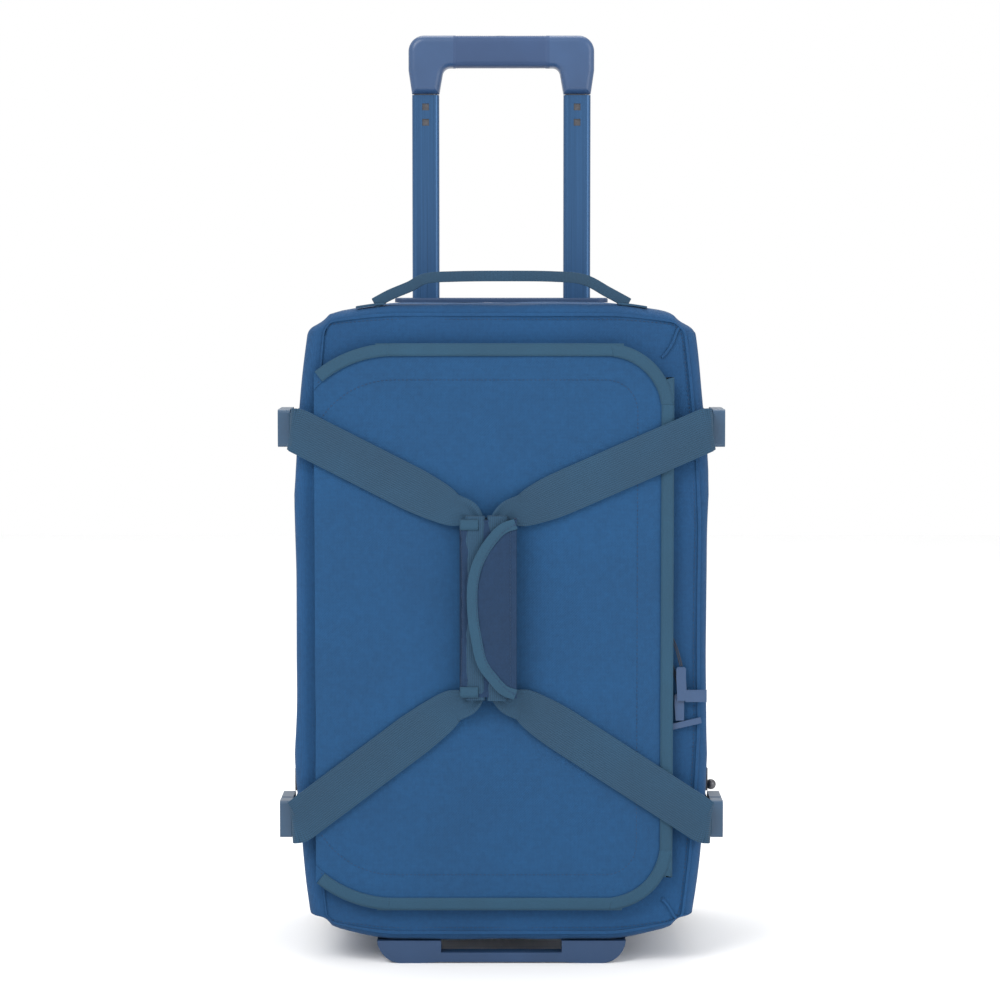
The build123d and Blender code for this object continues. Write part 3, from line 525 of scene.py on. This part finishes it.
def stitch_rows(name, rows, body, out, pitch=0.0034, length=0.0024, width=0.0007, finish=None):
    """Thread bumps along each row; out is the way the cloth faces, or a function of the place."""
    shape = bmesh.new()
    for row in rows:
        for place, direction in along_line(row, pitch):
            normal = out(place) if callable(out) else Vector(out)
            side = normal.cross(direction).normalized()
            turn = Matrix((direction, side, direction.cross(side))).transposed().to_4x4()
            size = Matrix.Diagonal((length, width, width * 0.8, 1))
            bmesh.ops.create_icosphere(
                shape, subdivisions=1, radius=0.5, matrix=Matrix.Translation(place) @ turn @ size
            )
    made = piece(shape, name, body, finish or thread)
    print(name, len(made.data.polygons))
    return made


def lid_line(inset, sink=0.0, steps=10):
    """The lid's free edge moved inwards: along the top, round both corners and back along the bottom."""
    seam_run, seam_radius, free_radius = 0.067, 0.101, 0.056
    turn_x = hinge_x + seam_run
    points = []
    for sign in (1, -1):
        edge = lid_top if sign > 0 else lid_bottom
        seam_z = edge - sign * seam_radius
        half = []
        reach = seam_radius - inset
        lean = math.acos(min(1, (seam_run - 0.006) / reach))
        for index in range(steps + 1):
            angle = lean + (math.pi / 2 - lean) * index / steps
            half.append(Vector((turn_x - reach * math.cos(angle), 0,
                seam_z + sign * (reach * math.sin(angle)))))
        corner = free_radius - inset
        centre_x, centre_z = lid_right - free_radius, edge - sign * free_radius
        for index in range(steps + 1):
            angle = math.pi / 2 * (1 - index / steps)
            half.append(Vector((centre_x + corner * math.cos(angle), 0,
                centre_z + sign * corner * math.sin(angle))))
        points += half if sign > 0 else list(reversed(half))
    face = lid_low.y + 0.0008 * (inset > 0.0105)
    for point in points:
        point.y = face - 0.0001 + sink
    return [lid_lie(p) for p in points]


lid_out = Vector((0, -1, 0))
stitch_rows("lid_binding_stitches", [lid_line(0.0020), lid_line(0.0088)], "lid", lid_out)
stitch_rows("lid_top_stitches", [lid_line(0.0300)], "lid", lid_out)

# %% [markdown]
# The lid's overhanging edge is wrapped in a ribbed tape that shows as a darker band, so the band follows
# the same line as the stitches and carries its own map for the ribs.

# %% Ribbons: the webbing maker
def curve_point(points, place):
    """A smooth curve through the points (Catmull-Rom); place runs from 0 to 1."""
    spot = place * (len(points) - 1)
    index = min(int(spot), len(points) - 2)
    t = spot - index
    a, b, c, d = (points[min(max(index + k, 0), len(points) - 1)] for k in (-1, 0, 1, 2))
    return 0.5 * ((2 * b) + (c - a) * t + (2 * a - 5 * b + 4 * c - d) * t**2 + (3 * b - a - 3 * c + d) * t**3)


def ribbon(name, route, finish, slot, body=None, thick=0.0018, long_cuts=60, wide_cuts=10, pleat=None,
        stands_for=(), round_edge=0.0005):
    """A flat tape along a route of (centre, facing, width). It gets a map in metres and a real thickness."""
    centres = [Vector(c) for c, _, _ in route]
    facings = [Vector(f).normalized() for _, f, _ in route]
    widths = [Vector((w, 0, 0)) for _, _, w in route]
    shape = bmesh.new()
    bmesh.ops.create_grid(shape, x_segments=long_cuts, y_segments=wide_cuts, size=0.5)
    tape = shape.loops.layers.uv.new("tape")
    steps = [curve_point(centres, i / 200) for i in range(201)]
    lengths = [0.0]
    for a, b in zip(steps, steps[1:]):
        lengths.append(lengths[-1] + (b - a).length)
    flat = {vertex: vertex.co.copy() for vertex in shape.verts}
    for face in shape.faces:
        for corner in face.loops:
            at = flat[corner.vert]
            run = (at.x + 0.5) * 200
            low = min(int(run), 199)
            far = lengths[low] + (lengths[low + 1] - lengths[low]) * (run - low)
            corner[tape].uv = (far, at.y * max(w.x for w in widths))
    for vertex, at in flat.items():
        t, side = at.x + 0.5, at.y
        centre, facing = curve_point(centres, t), curve_point(facings, t).normalized()
        ahead = (curve_point(centres, min(1, t + 0.004)) - curve_point(centres,
            max(0, t - 0.004))).normalized()
        across = facing.cross(ahead).normalized()
        lift = pleat(t, side) if pleat else 0.0
        vertex.co = centre + across * (side * curve_point(widths, t).x) + facing * lift
    shape.normal_update()
    shape.faces.ensure_lookup_table()
    middle = shape.faces[len(shape.faces) // 2]
    if middle.normal.dot(curve_point(facings, 0.5)) < 0:
        bmesh.ops.reverse_faces(shape, faces=shape.faces)
    made = piece(shape, name, None, finish, stands_for, smooth=50)
    solid = made.modifiers.new("thickness", "SOLIDIFY")
    solid.thickness, solid.offset = thick, 0.0
    if round_edge:
        bevel = made.modifiers.new("edge", "BEVEL")
        bevel.width, bevel.segments, bevel.limit_method, bevel.angle_limit = round_edge, 2, "ANGLE", 0.9
    applied(made)
    if body:
        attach(made, body)
    print(name, "length", round(lengths[-1], 3), "faces", len(made.data.polygons))
    return made


def applied(made):
    """Bake an object's modifiers into its mesh."""
    bpy.context.view_layer.update()
    final = bpy.data.meshes.new_from_object(made.evaluated_get(bpy.context.evaluated_depsgraph_get()))
    made.modifiers.clear()
    made.data = final
    return made


edge_points = lid_line(0.0053, sink=-0.0004, steps=14)
binding_route = [(p, (0, -1, 0), 0.0104) for p in edge_points]
ribbon("lid_edge_tape", binding_route, edge_binding, "binding_blue", "lid", thick=0.0007, long_cuts=420,
    wide_cuts=4, round_edge=0)

# %% [markdown]
# ## The harness
# Two loops of wide webbing hold the lid. Each runs from a buckle on one side, turns onto the front, and
# slants down or up to the middle, where the cloth is gathered into pleats and goes into the grab handle.
# A tape is a grid laid along a route, then given its thickness, which keeps the weave straight along it.
# The left ends bend over the lid's hinge, so they are pieces of their own.

# %% Harness arms
arm_heights = {"upper": clip_high.z - 0.0155, "lower": clip_low.z + 0.0155}
haul_x = (sleeve_low.x + sleeve_high.x) / 2
haul_z = {"upper": sleeve_high.z, "lower": sleeve_low.z}


def gather(start, depth, folds):
    """Pleats that grow towards the end of a tape."""
    def lift(t, side):
        strength = ease(t, start, 0.98)
        return -abs(math.sin(side * math.pi * folds + 0.4)) * depth * strength + depth * 0.5 * strength
    return lift


def arm_route(side, level):
    """Stations of one arm from the buckle to the grab handle: centre, facing and width."""
    up = 1 if level == "upper" else -1
    z, end_z = arm_heights[level], haul_z[level] + up * 0.004
    face = (0, -1, 0)
    edge_x, knot_x = side * (half_width - 0.002), haul_x + side * 0.024

    def on_line(x):
        """Height of the straight arm between the case's edge and the knot."""
        return z + (end_z - z) * (x - edge_x) / (knot_x - edge_x)

    stations = [((side * (half_width + 0.0012), strap_y + 0.0060, z + up * 0.001), (side, -0.25, 0), 0.0330)]
    stations.append(((side * (half_width + 0.0002), strap_y + 0.0016, z), (side * 0.7, -0.7, 0), 0.0350))
    for x in (half_width - 0.005, half_width - 0.016, 0.130, 0.112, 0.094, 0.076):
        stations.append(((side * x, strap_y - 0.0001, on_line(side * x)), face, 0.0360))
    for reach, width, out in ((0.058, 0.0355, 0.0004), (0.042, 0.0325, 0.0010), (0.030, 0.0275, 0.0022)):
        stations.append(((haul_x + side * reach, strap_y - out, on_line(haul_x + side * reach)), face, width))
    grip_x = haul_x - 0.0013
    stations.append(((haul_x + side * 0.0165, grips_high.y - 0.0012, end_z - up * 0.0005), face, 0.0205))
    stations.append(((grip_x + side * 0.0100, grips_high.y - 0.0034, end_z - up * 0.012), face, 0.0165))
    stations.append(((grip_x + side * 0.0090, grips_high.y - 0.0042, end_z - up * 0.030), face, 0.0155))
    return stations


def arm(name, side, level, span, body, stands_for, **more):
    """One stretch of an arm between two of its stations."""
    route = arm_route(side, level)[span[0] : span[1] + 1]
    return ribbon(name, route, strap_webbing, "webbing_blue", body, thick=0.0018, stands_for=stands_for,
        **more)


for level in ("upper", "lower"):
    up = 1 if level == "upper" else -1
    turn = arm(f"left_{level}_strap_turn", -1, level, (0, 4), None, [], long_cuts=70)
    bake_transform(turn)
    inner = arm(f"left_{level}_strap", -1, level, (4, 13), None, [], long_cuts=110, wide_cuts=22,
        pleat=gather(0.62, 0.0030, 2.5))
    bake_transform(inner)
    right = arm(f"right_{level}_strap", 1, level, (0, 13), None, [], long_cuts=170, wide_cuts=22,
        pleat=gather(0.80, 0.0030, 2.5))
    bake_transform(right)
    if level == "upper":
        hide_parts("left_strap_turns")
        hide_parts("left_straps", "left_strap_inner")
        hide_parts("right_straps", "right_strap_inner")

# %% [markdown]
# ## The grab handle
# The gathered webbing runs side by side through a cloth wrap. The wrap is a back and a rounded flap that
# folds over from the right and closes with a touch strip. Binding covers its edges and the cloth puckers
# between them.

# %% Webbing inside the wrap
for side in (-1, 1):
    shape = bmesh.new()
    bmesh.ops.create_cube(shape, size=1)
    width, deep = 0.0168, grips_high.y - grips_low.y
    for vertex in shape.verts:
        vertex.co = Vector((vertex.co.x * width, vertex.co.y * deep,
            vertex.co.z * (sleeve_high.z - sleeve_low.z + 0.004)))
    upright = [e for e in shape.edges if abs(e.verts[0].co.z - e.verts[1].co.z) > 0.01]
    bmesh.ops.subdivide_edges(shape, edges=upright, cuts=24, use_grid_fill=True)
    bmesh.ops.bevel(
        shape,
        geom=[e for e in shape.edges if abs((e.verts[0].co - e.verts[1].co).normalized().z) > 0.9],
        offset=0.003, affect="EDGES", segments=4, profile=0.5, material=-1,
    )
    centre = Vector((haul_x - 0.0013 + side * 0.0092, (grips_low.y + grips_high.y) / 2,
        (sleeve_low.z + sleeve_high.z) / 2))
    shape.normal_update()
    tape = shape.loops.layers.uv.new("tape")
    for face in shape.faces:
        for corner in face.loops:
            corner[tape].uv = (corner.vert.co.z, corner.vert.co.x + corner.vert.co.y)
    for vertex in shape.verts:
        vertex.co = wrinkled(vertex.co + centre, vertex.normal, 0.0009, 60, seed=side)
    grip = piece(shape, f"{'left' if side < 0 else 'right'}_grip_webbing", "haul_handle",
        strap_webbing)
    if side < 0:
        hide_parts("haul_grips")

# %% Cloth round the handle
shape = bmesh.new()
bmesh.ops.create_cube(shape, size=1)
body_low = Vector((sleeve_low.x, grips_low.y - 0.0004, sleeve_low.z + 0.0005))
body_high = Vector((haul_x + 0.0060, sleeve_high.y - 0.0008, sleeve_high.z - 0.0005))
for vertex in shape.verts:
    vertex.co = Vector(
        (body_low[i] + body_high[i]) / 2 + vertex.co[i] * (body_high[i] - body_low[i]) for i in range(3)
    )
long_edges = [e for e in shape.edges if abs(e.verts[0].co.z - e.verts[1].co.z) > 0.01]
bmesh.ops.bevel(shape, geom=long_edges, offset=0.0038, affect="EDGES", segments=5, profile=0.5, material=-1)
for index in range(1, 60):
    cut = body_low.z + (body_high.z - body_low.z) * index / 60
    geometry = shape.verts[:] + shape.edges[:] + shape.faces[:]
    bmesh.ops.bisect_plane(shape, geom=geometry, plane_co=(0, 0, cut), plane_no=(0, 0, 1))
for index in range(1, 12):
    cut = body_low.x + (body_high.x - body_low.x) * index / 12
    geometry = shape.verts[:] + shape.edges[:] + shape.faces[:]
    bmesh.ops.bisect_plane(shape, geom=geometry, plane_co=(cut, 0, 0), plane_no=(1, 0, 0))
shape.normal_update()
for vertex in shape.verts:
    crease = noise.noise(Vector((vertex.co.x * 30, 4.0, vertex.co.z * 130)))
    waist = 0.0012 * math.sin(math.pi * (vertex.co.z - body_low.z) / (body_high.z - body_low.z))
    left_face = 1 - ease(vertex.co.x, body_low.x, body_low.x + 0.006)
    vertex.co -= vertex.normal * (0.0007 * (crease + 1)) + Vector((-waist * left_face, 0, 0))
piece(shape, "wrap_body_cloth", "haul_handle", wrap_cloth)

# %% Wrap, flap and binding
def puckered(node, body, seed, pull):
    """The wrap's cloth, drawn into short creases across the handle."""
    shape = fresh_copy(node, (0.0025, 0.0020, 0.0030))
    shape.normal_update()
    low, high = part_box(node)
    for vertex in shape.verts:
        p, n = vertex.co.copy(), vertex.normal.copy()
        inside = min(p.x - low.x, high.x - p.x, p.z - low.z, high.z - p.z) / 0.008
        crease = noise.noise(Vector((p.x * 20 + seed, 0, p.z * 150))) * 0.6 + noise.noise(Vector((p.x * 60,
            seed, p.z * 60))) * 0.4
        vertex.co = p + n * (crease * pull * min(1, max(0.15, inside)))
    made = piece(shape, node + "_cloth", body, wrap_cloth, [node])
    print(made.name, len(made.data.polygons))
    return made


puckered("haul_sleeve", "haul_handle", 3.0, 0.0007)
puckered("wrap_tab", "haul_wrap", 8.0, 0.0013)

tab_face = tab_low.y - 0.0002
tab_edge = [
    (tab_high.x - 0.0006, tab_high.z - 0.004), (tab_high.x - 0.012,
        tab_high.z - 0.0085), (tab_high.x - 0.0235, tab_high.z - 0.0215),
    (tab_low.x + 0.0088, tab_high.z - 0.0375), (tab_low.x + 0.0048,
        tab_high.z - 0.056), (tab_low.x + 0.0050, tab_high.z - 0.078),
    (tab_low.x + 0.0075, tab_low.z + 0.052), (tab_low.x + 0.0125, tab_low.z + 0.030), (tab_low.x + 0.0225,
        tab_low.z + 0.0155),
    (tab_high.x - 0.0100, tab_low.z + 0.0070), (tab_high.x - 0.0006, tab_low.z + 0.0035),
]
tab_line = [(Vector((x, tab_face, z)), (0, -1, 0), 0.0088) for x, z in tab_edge]
ribbon("flap_binding", tab_line, edge_binding, "binding_blue", "haul_wrap", thick=0.0012, long_cuts=120,
    wide_cuts=5, round_edge=0.0004)
flap_points = [curve_point([Vector(p[0]) for p in tab_line], i / 120) for i in range(121)]
inner_seam = [Vector((p.x + 0.0034 * (1 if p.x < tab_high.x - 0.003 else 0), tab_face - 0.0007,
    p.z)) for p in flap_points]
hinge_seam = [Vector((tab_high.x - 0.0050, tab_low.y - 0.0004,
    tab_low.z + 0.008 + i * 0.0137)) for i in range(11)]
stitch_rows("flap_stitches", [inner_seam, hinge_seam], "haul_wrap", Vector((0, -1, 0)),
    pitch=0.0030, length=0.0021)

wrap_face = grips_low.y - 0.0009
for name, z in (("upper", sleeve_high.z - 0.0050), ("lower", sleeve_low.z + 0.0050)):
    stations = [(sleeve_low.x + 0.0006, wrap_face + 0.0030), (sleeve_low.x + 0.0026, wrap_face + 0.0005),
        (haul_x - 0.008, wrap_face)]
    route = [((x, y, z), (-0.2 if x < haul_x - 0.02 else 0, -1, 0), 0.0088) for x, y in stations]
    ribbon(f"wrap_{name}_binding", route, edge_binding, "binding_blue", "haul_handle", thick=0.0008,
        long_cuts=18, wide_cuts=3, round_edge=0)

# %% Links from the arms to the buckles
for side, word, body in ((-1, "left", "case"), (1, "right", "lid")):
    for level, z in arm_heights.items():
        route = [
            ((side * (half_width - 0.0010), strap_y + 0.0062, z), (side, -0.6, 0), 0.0250),
            ((side * (half_width + 0.0040), clip_low.y + 0.0030, z), (side, -0.3, 0), 0.0250),
            ((side * (buckle_x + 0.0010), clip_low.y + 0.0058, z), (side, 0.1, 0), 0.0250),
        ]
        ribbon(f"{word}_{level}_buckle_link", route, strap_webbing, "webbing_blue", body, long_cuts=24,
            wide_cuts=6)

# %% [markdown]
# ## Carry handle
# The top handle is a padded strip of the same webbing, sewn down at both ends. It stands up in straight
# runs with soft creases where it bends.

# %% Carry handle
handle_low, handle_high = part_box("carry_handle")
handle_y = (handle_low.y + handle_high.y) / 2
crown = handle_high.z - 0.0005
foot = roof + 0.0010
stations = [
    (handle_low.x - 0.001, foot, 0.0200), (handle_low.x + 0.012, foot + 0.0070,
        0.0220), (handle_low.x + 0.028, crown - 0.0088, 0.0240),
    (-0.062, crown - 0.0020, 0.0240), (-0.038, crown - 0.0004, 0.0240), (0.0, crown, 0.0240), (0.042,
        crown - 0.0004, 0.0240),
    (0.068, crown - 0.0030, 0.0240), (handle_high.x - 0.016, foot + 0.0092, 0.0220), (handle_high.x + 0.001,
        foot, 0.0200),
]
handle_route = [(Vector((x, handle_y, z)), (0, 0, 1), w) for x, z, w in stations]
handle = ribbon("carry_handle_webbing", handle_route, strap_webbing, "webbing_blue", "carry_handle",
    thick=0.0088, long_cuts=120,
                wide_cuts=10, stands_for=["carry_handle"], round_edge=0.0034)
for side in (-1, 1):
    x = side * (handle_high.x + 0.002)
    tab_route = []
    for reach in (-0.010, -0.002, 0.006, 0.014):
        lie = settled(Vector((x + side * reach, handle_y, roof)))
        tab_route.append((lie + Vector((0, 0, 0.0012)), (side * 0.1, 0, 1), 0.0230))
    ribbon(f"carry_handle_{'left' if side < 0 else 'right'}_tab", tab_route, strap_webbing, "webbing_blue",
        "case", thick=0.0018, long_cuts=24)

# %% [markdown]
# ## Side webbing and pocket zips
# Each buckle socket is held by a strap that runs back along the side to the rear seam. Between them is a
# pocket with a zip. A zip is two tapes and two rows of small teeth that mesh down the middle.

# %% Side straps
for side, word in ((-1, "left"), (1, "right")):
    low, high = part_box(f"{word}_side_straps")
    for level, z in arm_heights.items():
        route = [(Vector((side * (abs(low.x if side < 0 else high.x) - 0.0009), y, z)), (side, 0, 0), 0.0250)
                 for y in (low.y, low.y * 0.7 + high.y * 0.3, low.y * 0.3 + high.y * 0.7, high.y)]
        made = ribbon(f"{word}_{level}_side_strap", route, strap_webbing, "webbing_blue", "case",
            long_cuts=60, wide_cuts=6)
        if level == "upper":
            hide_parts(f"{word}_side_straps")

# %% Zip teeth
def teeth(name, line, facing, body, gap=0.0, pitch=0.0021, size=(0.0009, 0.0030, 0.0013)):
    """Two rows of teeth meshing along a line."""
    shape = bmesh.new()
    for index, (place, direction) in enumerate(along_line(line, pitch)):
        side = Vector(facing).cross(direction).normalized()
        turn = Matrix((direction, side, Vector(facing))).transposed().to_4x4()
        shift = side * ((index % 2 - 0.5) * (0.0012 + gap))
        bmesh.ops.create_cube(shape, size=1,
            matrix=Matrix.Translation(place + shift) @ turn @ Matrix.Diagonal((*size, 1)))
    made = piece(shape, name, body, dark_plastic)
    print(name, len(made.data.polygons))
    return made


for side, word in ((-1, "left"), (1, "right")):
    low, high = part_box(f"{word}_pocket_zip")
    face_x = low.x if side < 0 else high.x
    tape_y = (low.y + high.y) / 2
    line = [Vector((face_x, tape_y, low.z + 0.006)), Vector((face_x, tape_y, high.z - 0.006))]
    teeth(f"{word}_pocket_teeth", line, (side, 0, 0), "case", size=(0.0009, 0.0030, 0.0008))
    rows = [[Vector((face_x, tape_y + offset, low.z + 0.003)),
        Vector((face_x, tape_y + offset, high.z - 0.003))] for offset in (-0.0048, 0.0048)]
    stitch_rows(f"{word}_pocket_stitches", rows, "case", Vector((side, 0, 0)))

frame_tape_low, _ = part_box("frame_zip_tape")
zip_line = lid_line(0.0062, steps=12)
for point in zip_line:
    point.y = frame_tape_low.y + 0.0006
teeth("frame_zip_teeth", zip_line, (0, -1, 0), "case", size=(0.0009, 0.0022, 0.0012))
zip_line = lid_line(0.0074, steps=12)
for point in zip_line:
    point.y = frame_tape_low.y + 0.0006
teeth("lid_zip_teeth", zip_line, (0, -1, 0), "lid", size=(0.0009, 0.0022, 0.0012))

# %% [markdown]
# ## Seams on the shell
# The front frame is three strips joined by slanted seams at its right corners, and a line of stitching
# runs just inside the corded edge.

# %% Shell stitching
def on_front(x, z):
    return settled(Vector((x, front - 0.0002, z)))


edge_x, edge_top, edge_low = panel_high.x - 0.004, panel_high.z - 0.004, panel_low.z + 0.004
outline = [on_front(hinge_x + 0.012 + (edge_x - 0.02 - hinge_x - 0.012) * i / 30,
    edge_top) for i in range(31)]
outline += [on_front(edge_x - 0.018 + 0.018 * math.sin(a),
    edge_top - 0.018 + 0.018 * math.cos(a)) for a in (0.4, 0.8, 1.2)]
outline += [on_front(edge_x, edge_top - 0.02 - (edge_top - edge_low - 0.04) * i / 40) for i in range(41)]
outline += [on_front(edge_x - 0.018 + 0.018 * math.cos(a),
    edge_low + 0.018 - 0.018 * math.sin(a)) for a in (0.4, 0.8, 1.2)]
outline += [on_front(edge_x - 0.02 - (edge_x - 0.02 - hinge_x - 0.012) * i / 30, edge_low) for i in range(31)]
stitch_rows("front_stitches", [outline], "case", Vector((0, -1, 0)))
for word, start, finish in (
    ("upper", (lid_right - 0.010, lid_top - 0.012), (edge_x - 0.003, edge_top - 0.003)),
    ("lower", (lid_right - 0.008, lid_bottom + 0.008), (edge_x - 0.003, edge_low + 0.003)),
):
    route = [(on_front(start[0] + (finish[0] - start[0]) * i / 6,
        start[1] + (finish[1] - start[1]) * i / 6) + Vector((0, -0.0006, 0)), (0, -1,
        0), 0.0022) for i in range(7)]
    ribbon(f"{word}_corner_seam", route, shell_cloth, "fabric_blue", "case", thick=0.0012, long_cuts=24,
        wide_cuts=3, round_edge=0.0005)

# %% [markdown]
# ## Grip cover
# The rubber cover on the trolley's grip is ribbed all round. The CAD sleeve is cut into thin slices and
# every other slice is drawn in, which makes the ribs real enough to catch the light.

# %% Ribbed cover
cover_low, cover_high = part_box("grip_cover")
rib_pitch = 0.00170
shape = bmesh.new()
shape.from_mesh(nodes["grip_cover"].data)
bmesh.ops.remove_doubles(shape, verts=shape.verts, dist=1e-6)
bmesh.ops.dissolve_limit(shape, angle_limit=0.01, verts=shape.verts, edges=shape.edges)
count = int((cover_high.x - cover_low.x - 0.004) / rib_pitch * 2)
for index in range(count + 1):
    x = cover_low.x + 0.002 + index * rib_pitch / 2
    bmesh.ops.bisect_plane(shape, geom=shape.verts[:] + shape.edges[:] + shape.faces[:], plane_co=(x, 0, 0),
        plane_no=(1, 0, 0))
grip_centre = Vector((0, (cover_low.y + cover_high.y) / 2, (cover_low.z + cover_high.z) / 2))
for vertex in shape.verts:
    slice_at = (vertex.co.x - cover_low.x - 0.002) / (rib_pitch / 2)
    nearest = round(slice_at)
    if abs(slice_at - nearest) < 0.05 and nearest % 2 and 0 < nearest < count:
        offset = vertex.co - Vector((vertex.co.x, grip_centre.y, grip_centre.z))
        outside = max(abs(offset.y) / (cover_high.y - grip_centre.y),
            abs(offset.z) / (cover_high.z - grip_centre.z))
        if outside > 0.93:
            vertex.co -= offset.normalized() * 0.00055
made = piece(shape, "ribbed_cover", "grip_stage", rib_rubber, ["grip_cover"], smooth=25)
print("ribs", count // 2, "faces", len(made.data.polygons))

# %% [markdown]
# ## Pull cords
# Each zip pull hangs on a limp cord, doubled through the slider's eye. Each leg leaves the eye under the
# lid's edge, turns once over the binding and drops to the pull. A smooth spline through three points gives
# that fall, and its bend is as gentle as the short cord allows.

# %% Pull cords
cord_radius = 0.0006
upper_y, lower_y = front - 0.00425, front - 0.0028
cord_legs = {
    # the leg's route and its real length
    "upper_cord_near": ("upper", [(0.13452, upper_y, 0.28290), (0.14302, upper_y, 0.27425),
        (0.14782, front - 0.0072, 0.25160)], 0.0352),
    "upper_cord_far": ("upper", [(0.13608, upper_y, 0.28290), (0.14458, upper_y, 0.27425),
        (0.14938, front - 0.0072, 0.25160)], 0.0352),
    "lower_cord_near": ("lower", [(0.13452, lower_y, 0.26190), (0.14302, lower_y, 0.25125),
        (0.14662, front - 0.0034, 0.22860)], 0.0363),
    "lower_cord_far": ("lower", [(0.13608, lower_y, 0.26190), (0.14458, lower_y, 0.25125),
        (0.14818, front - 0.0034, 0.22860)], 0.0363),
}
for name, (level, route, length) in cord_legs.items():
    curve = bpy.data.curves.new(name, "CURVE")
    curve.dimensions = "3D"
    curve.bevel_depth, curve.bevel_resolution, curve.resolution_u = cord_radius, 3, 12
    line = curve.splines.new("NURBS")
    line.points.add(len(route) - 1)
    for point, place in zip(line.points, route):
        point.co = (*place, 1)
    line.order_u = 3
    line.use_endpoint_u = True
    curve.materials.append(cord_braid)
    cord = bpy.data.objects.new(name, curve)
    scene.collection.objects.link(cord)
    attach(cord, f"{level}_pull")
    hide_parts(f"{level}_pull_cord")
    print(name, "length", length)

# %% [markdown]
# ## Finishing the hard parts
# The pieces whose CAD shape is already right keep it. They only need their material, so each frame piece
# is matched with one finish.

# %% Finishes on the frame's own pieces
dressed = {
    "grip_core": grip_plastic, "release_button": grip_plastic,
    "trolley_bezel": stand_plastic, "front_stand": stand_plastic,
    "upper_pull": pull_plastic, "lower_pull": pull_plastic,
    "middle_tubes": blue_tube,
    # The inner tubes get the dark zip metal as painted shade. It stands in for the shade inside the middle
    # tubes' windows, not for the tubes' own colour.
    "inner_tubes": zip_metal, "upper_slider": zip_metal, "lower_slider": zip_metal,
    "left_pocket_slider": zip_metal, "right_pocket_slider": zip_metal, "left_pocket_pull": zip_metal,
    "right_pocket_pull": zip_metal,
    "outer_tubes": plain_tube,
    "middle_bushings": dark_plastic, "trolley_foot": dark_plastic, "left_wheel_housing": dark_plastic,
    "right_wheel_housing": dark_plastic, "left_wheel_hub": dark_plastic, "right_wheel_hub": dark_plastic,
    "left_tyre": tyre_rubber, "right_tyre": tyre_rubber,
    "wheel_axles": steel, "screws": steel, "push_rods": steel,
    "trolley_cover": board_plastic,
    "left_buckle_sockets": buckle_plastic, "right_buckle_sockets": buckle_plastic,
    "left_buckle_clips": buckle_plastic, "right_buckle_clips": buckle_plastic,
    "frame_zip_tape": lining_cloth, "lid_zip_tape": lining_cloth, "left_pocket_zip": lining_cloth,
    "right_pocket_zip": lining_cloth,
}
for node, finish in dressed.items():
    nodes[node].data.materials.clear()
    nodes[node].data.materials.append(finish)
left_bare = [n for n, o in nodes.items() if not o.hide_render and n not in dressed]
print("pieces still bare", left_bare)
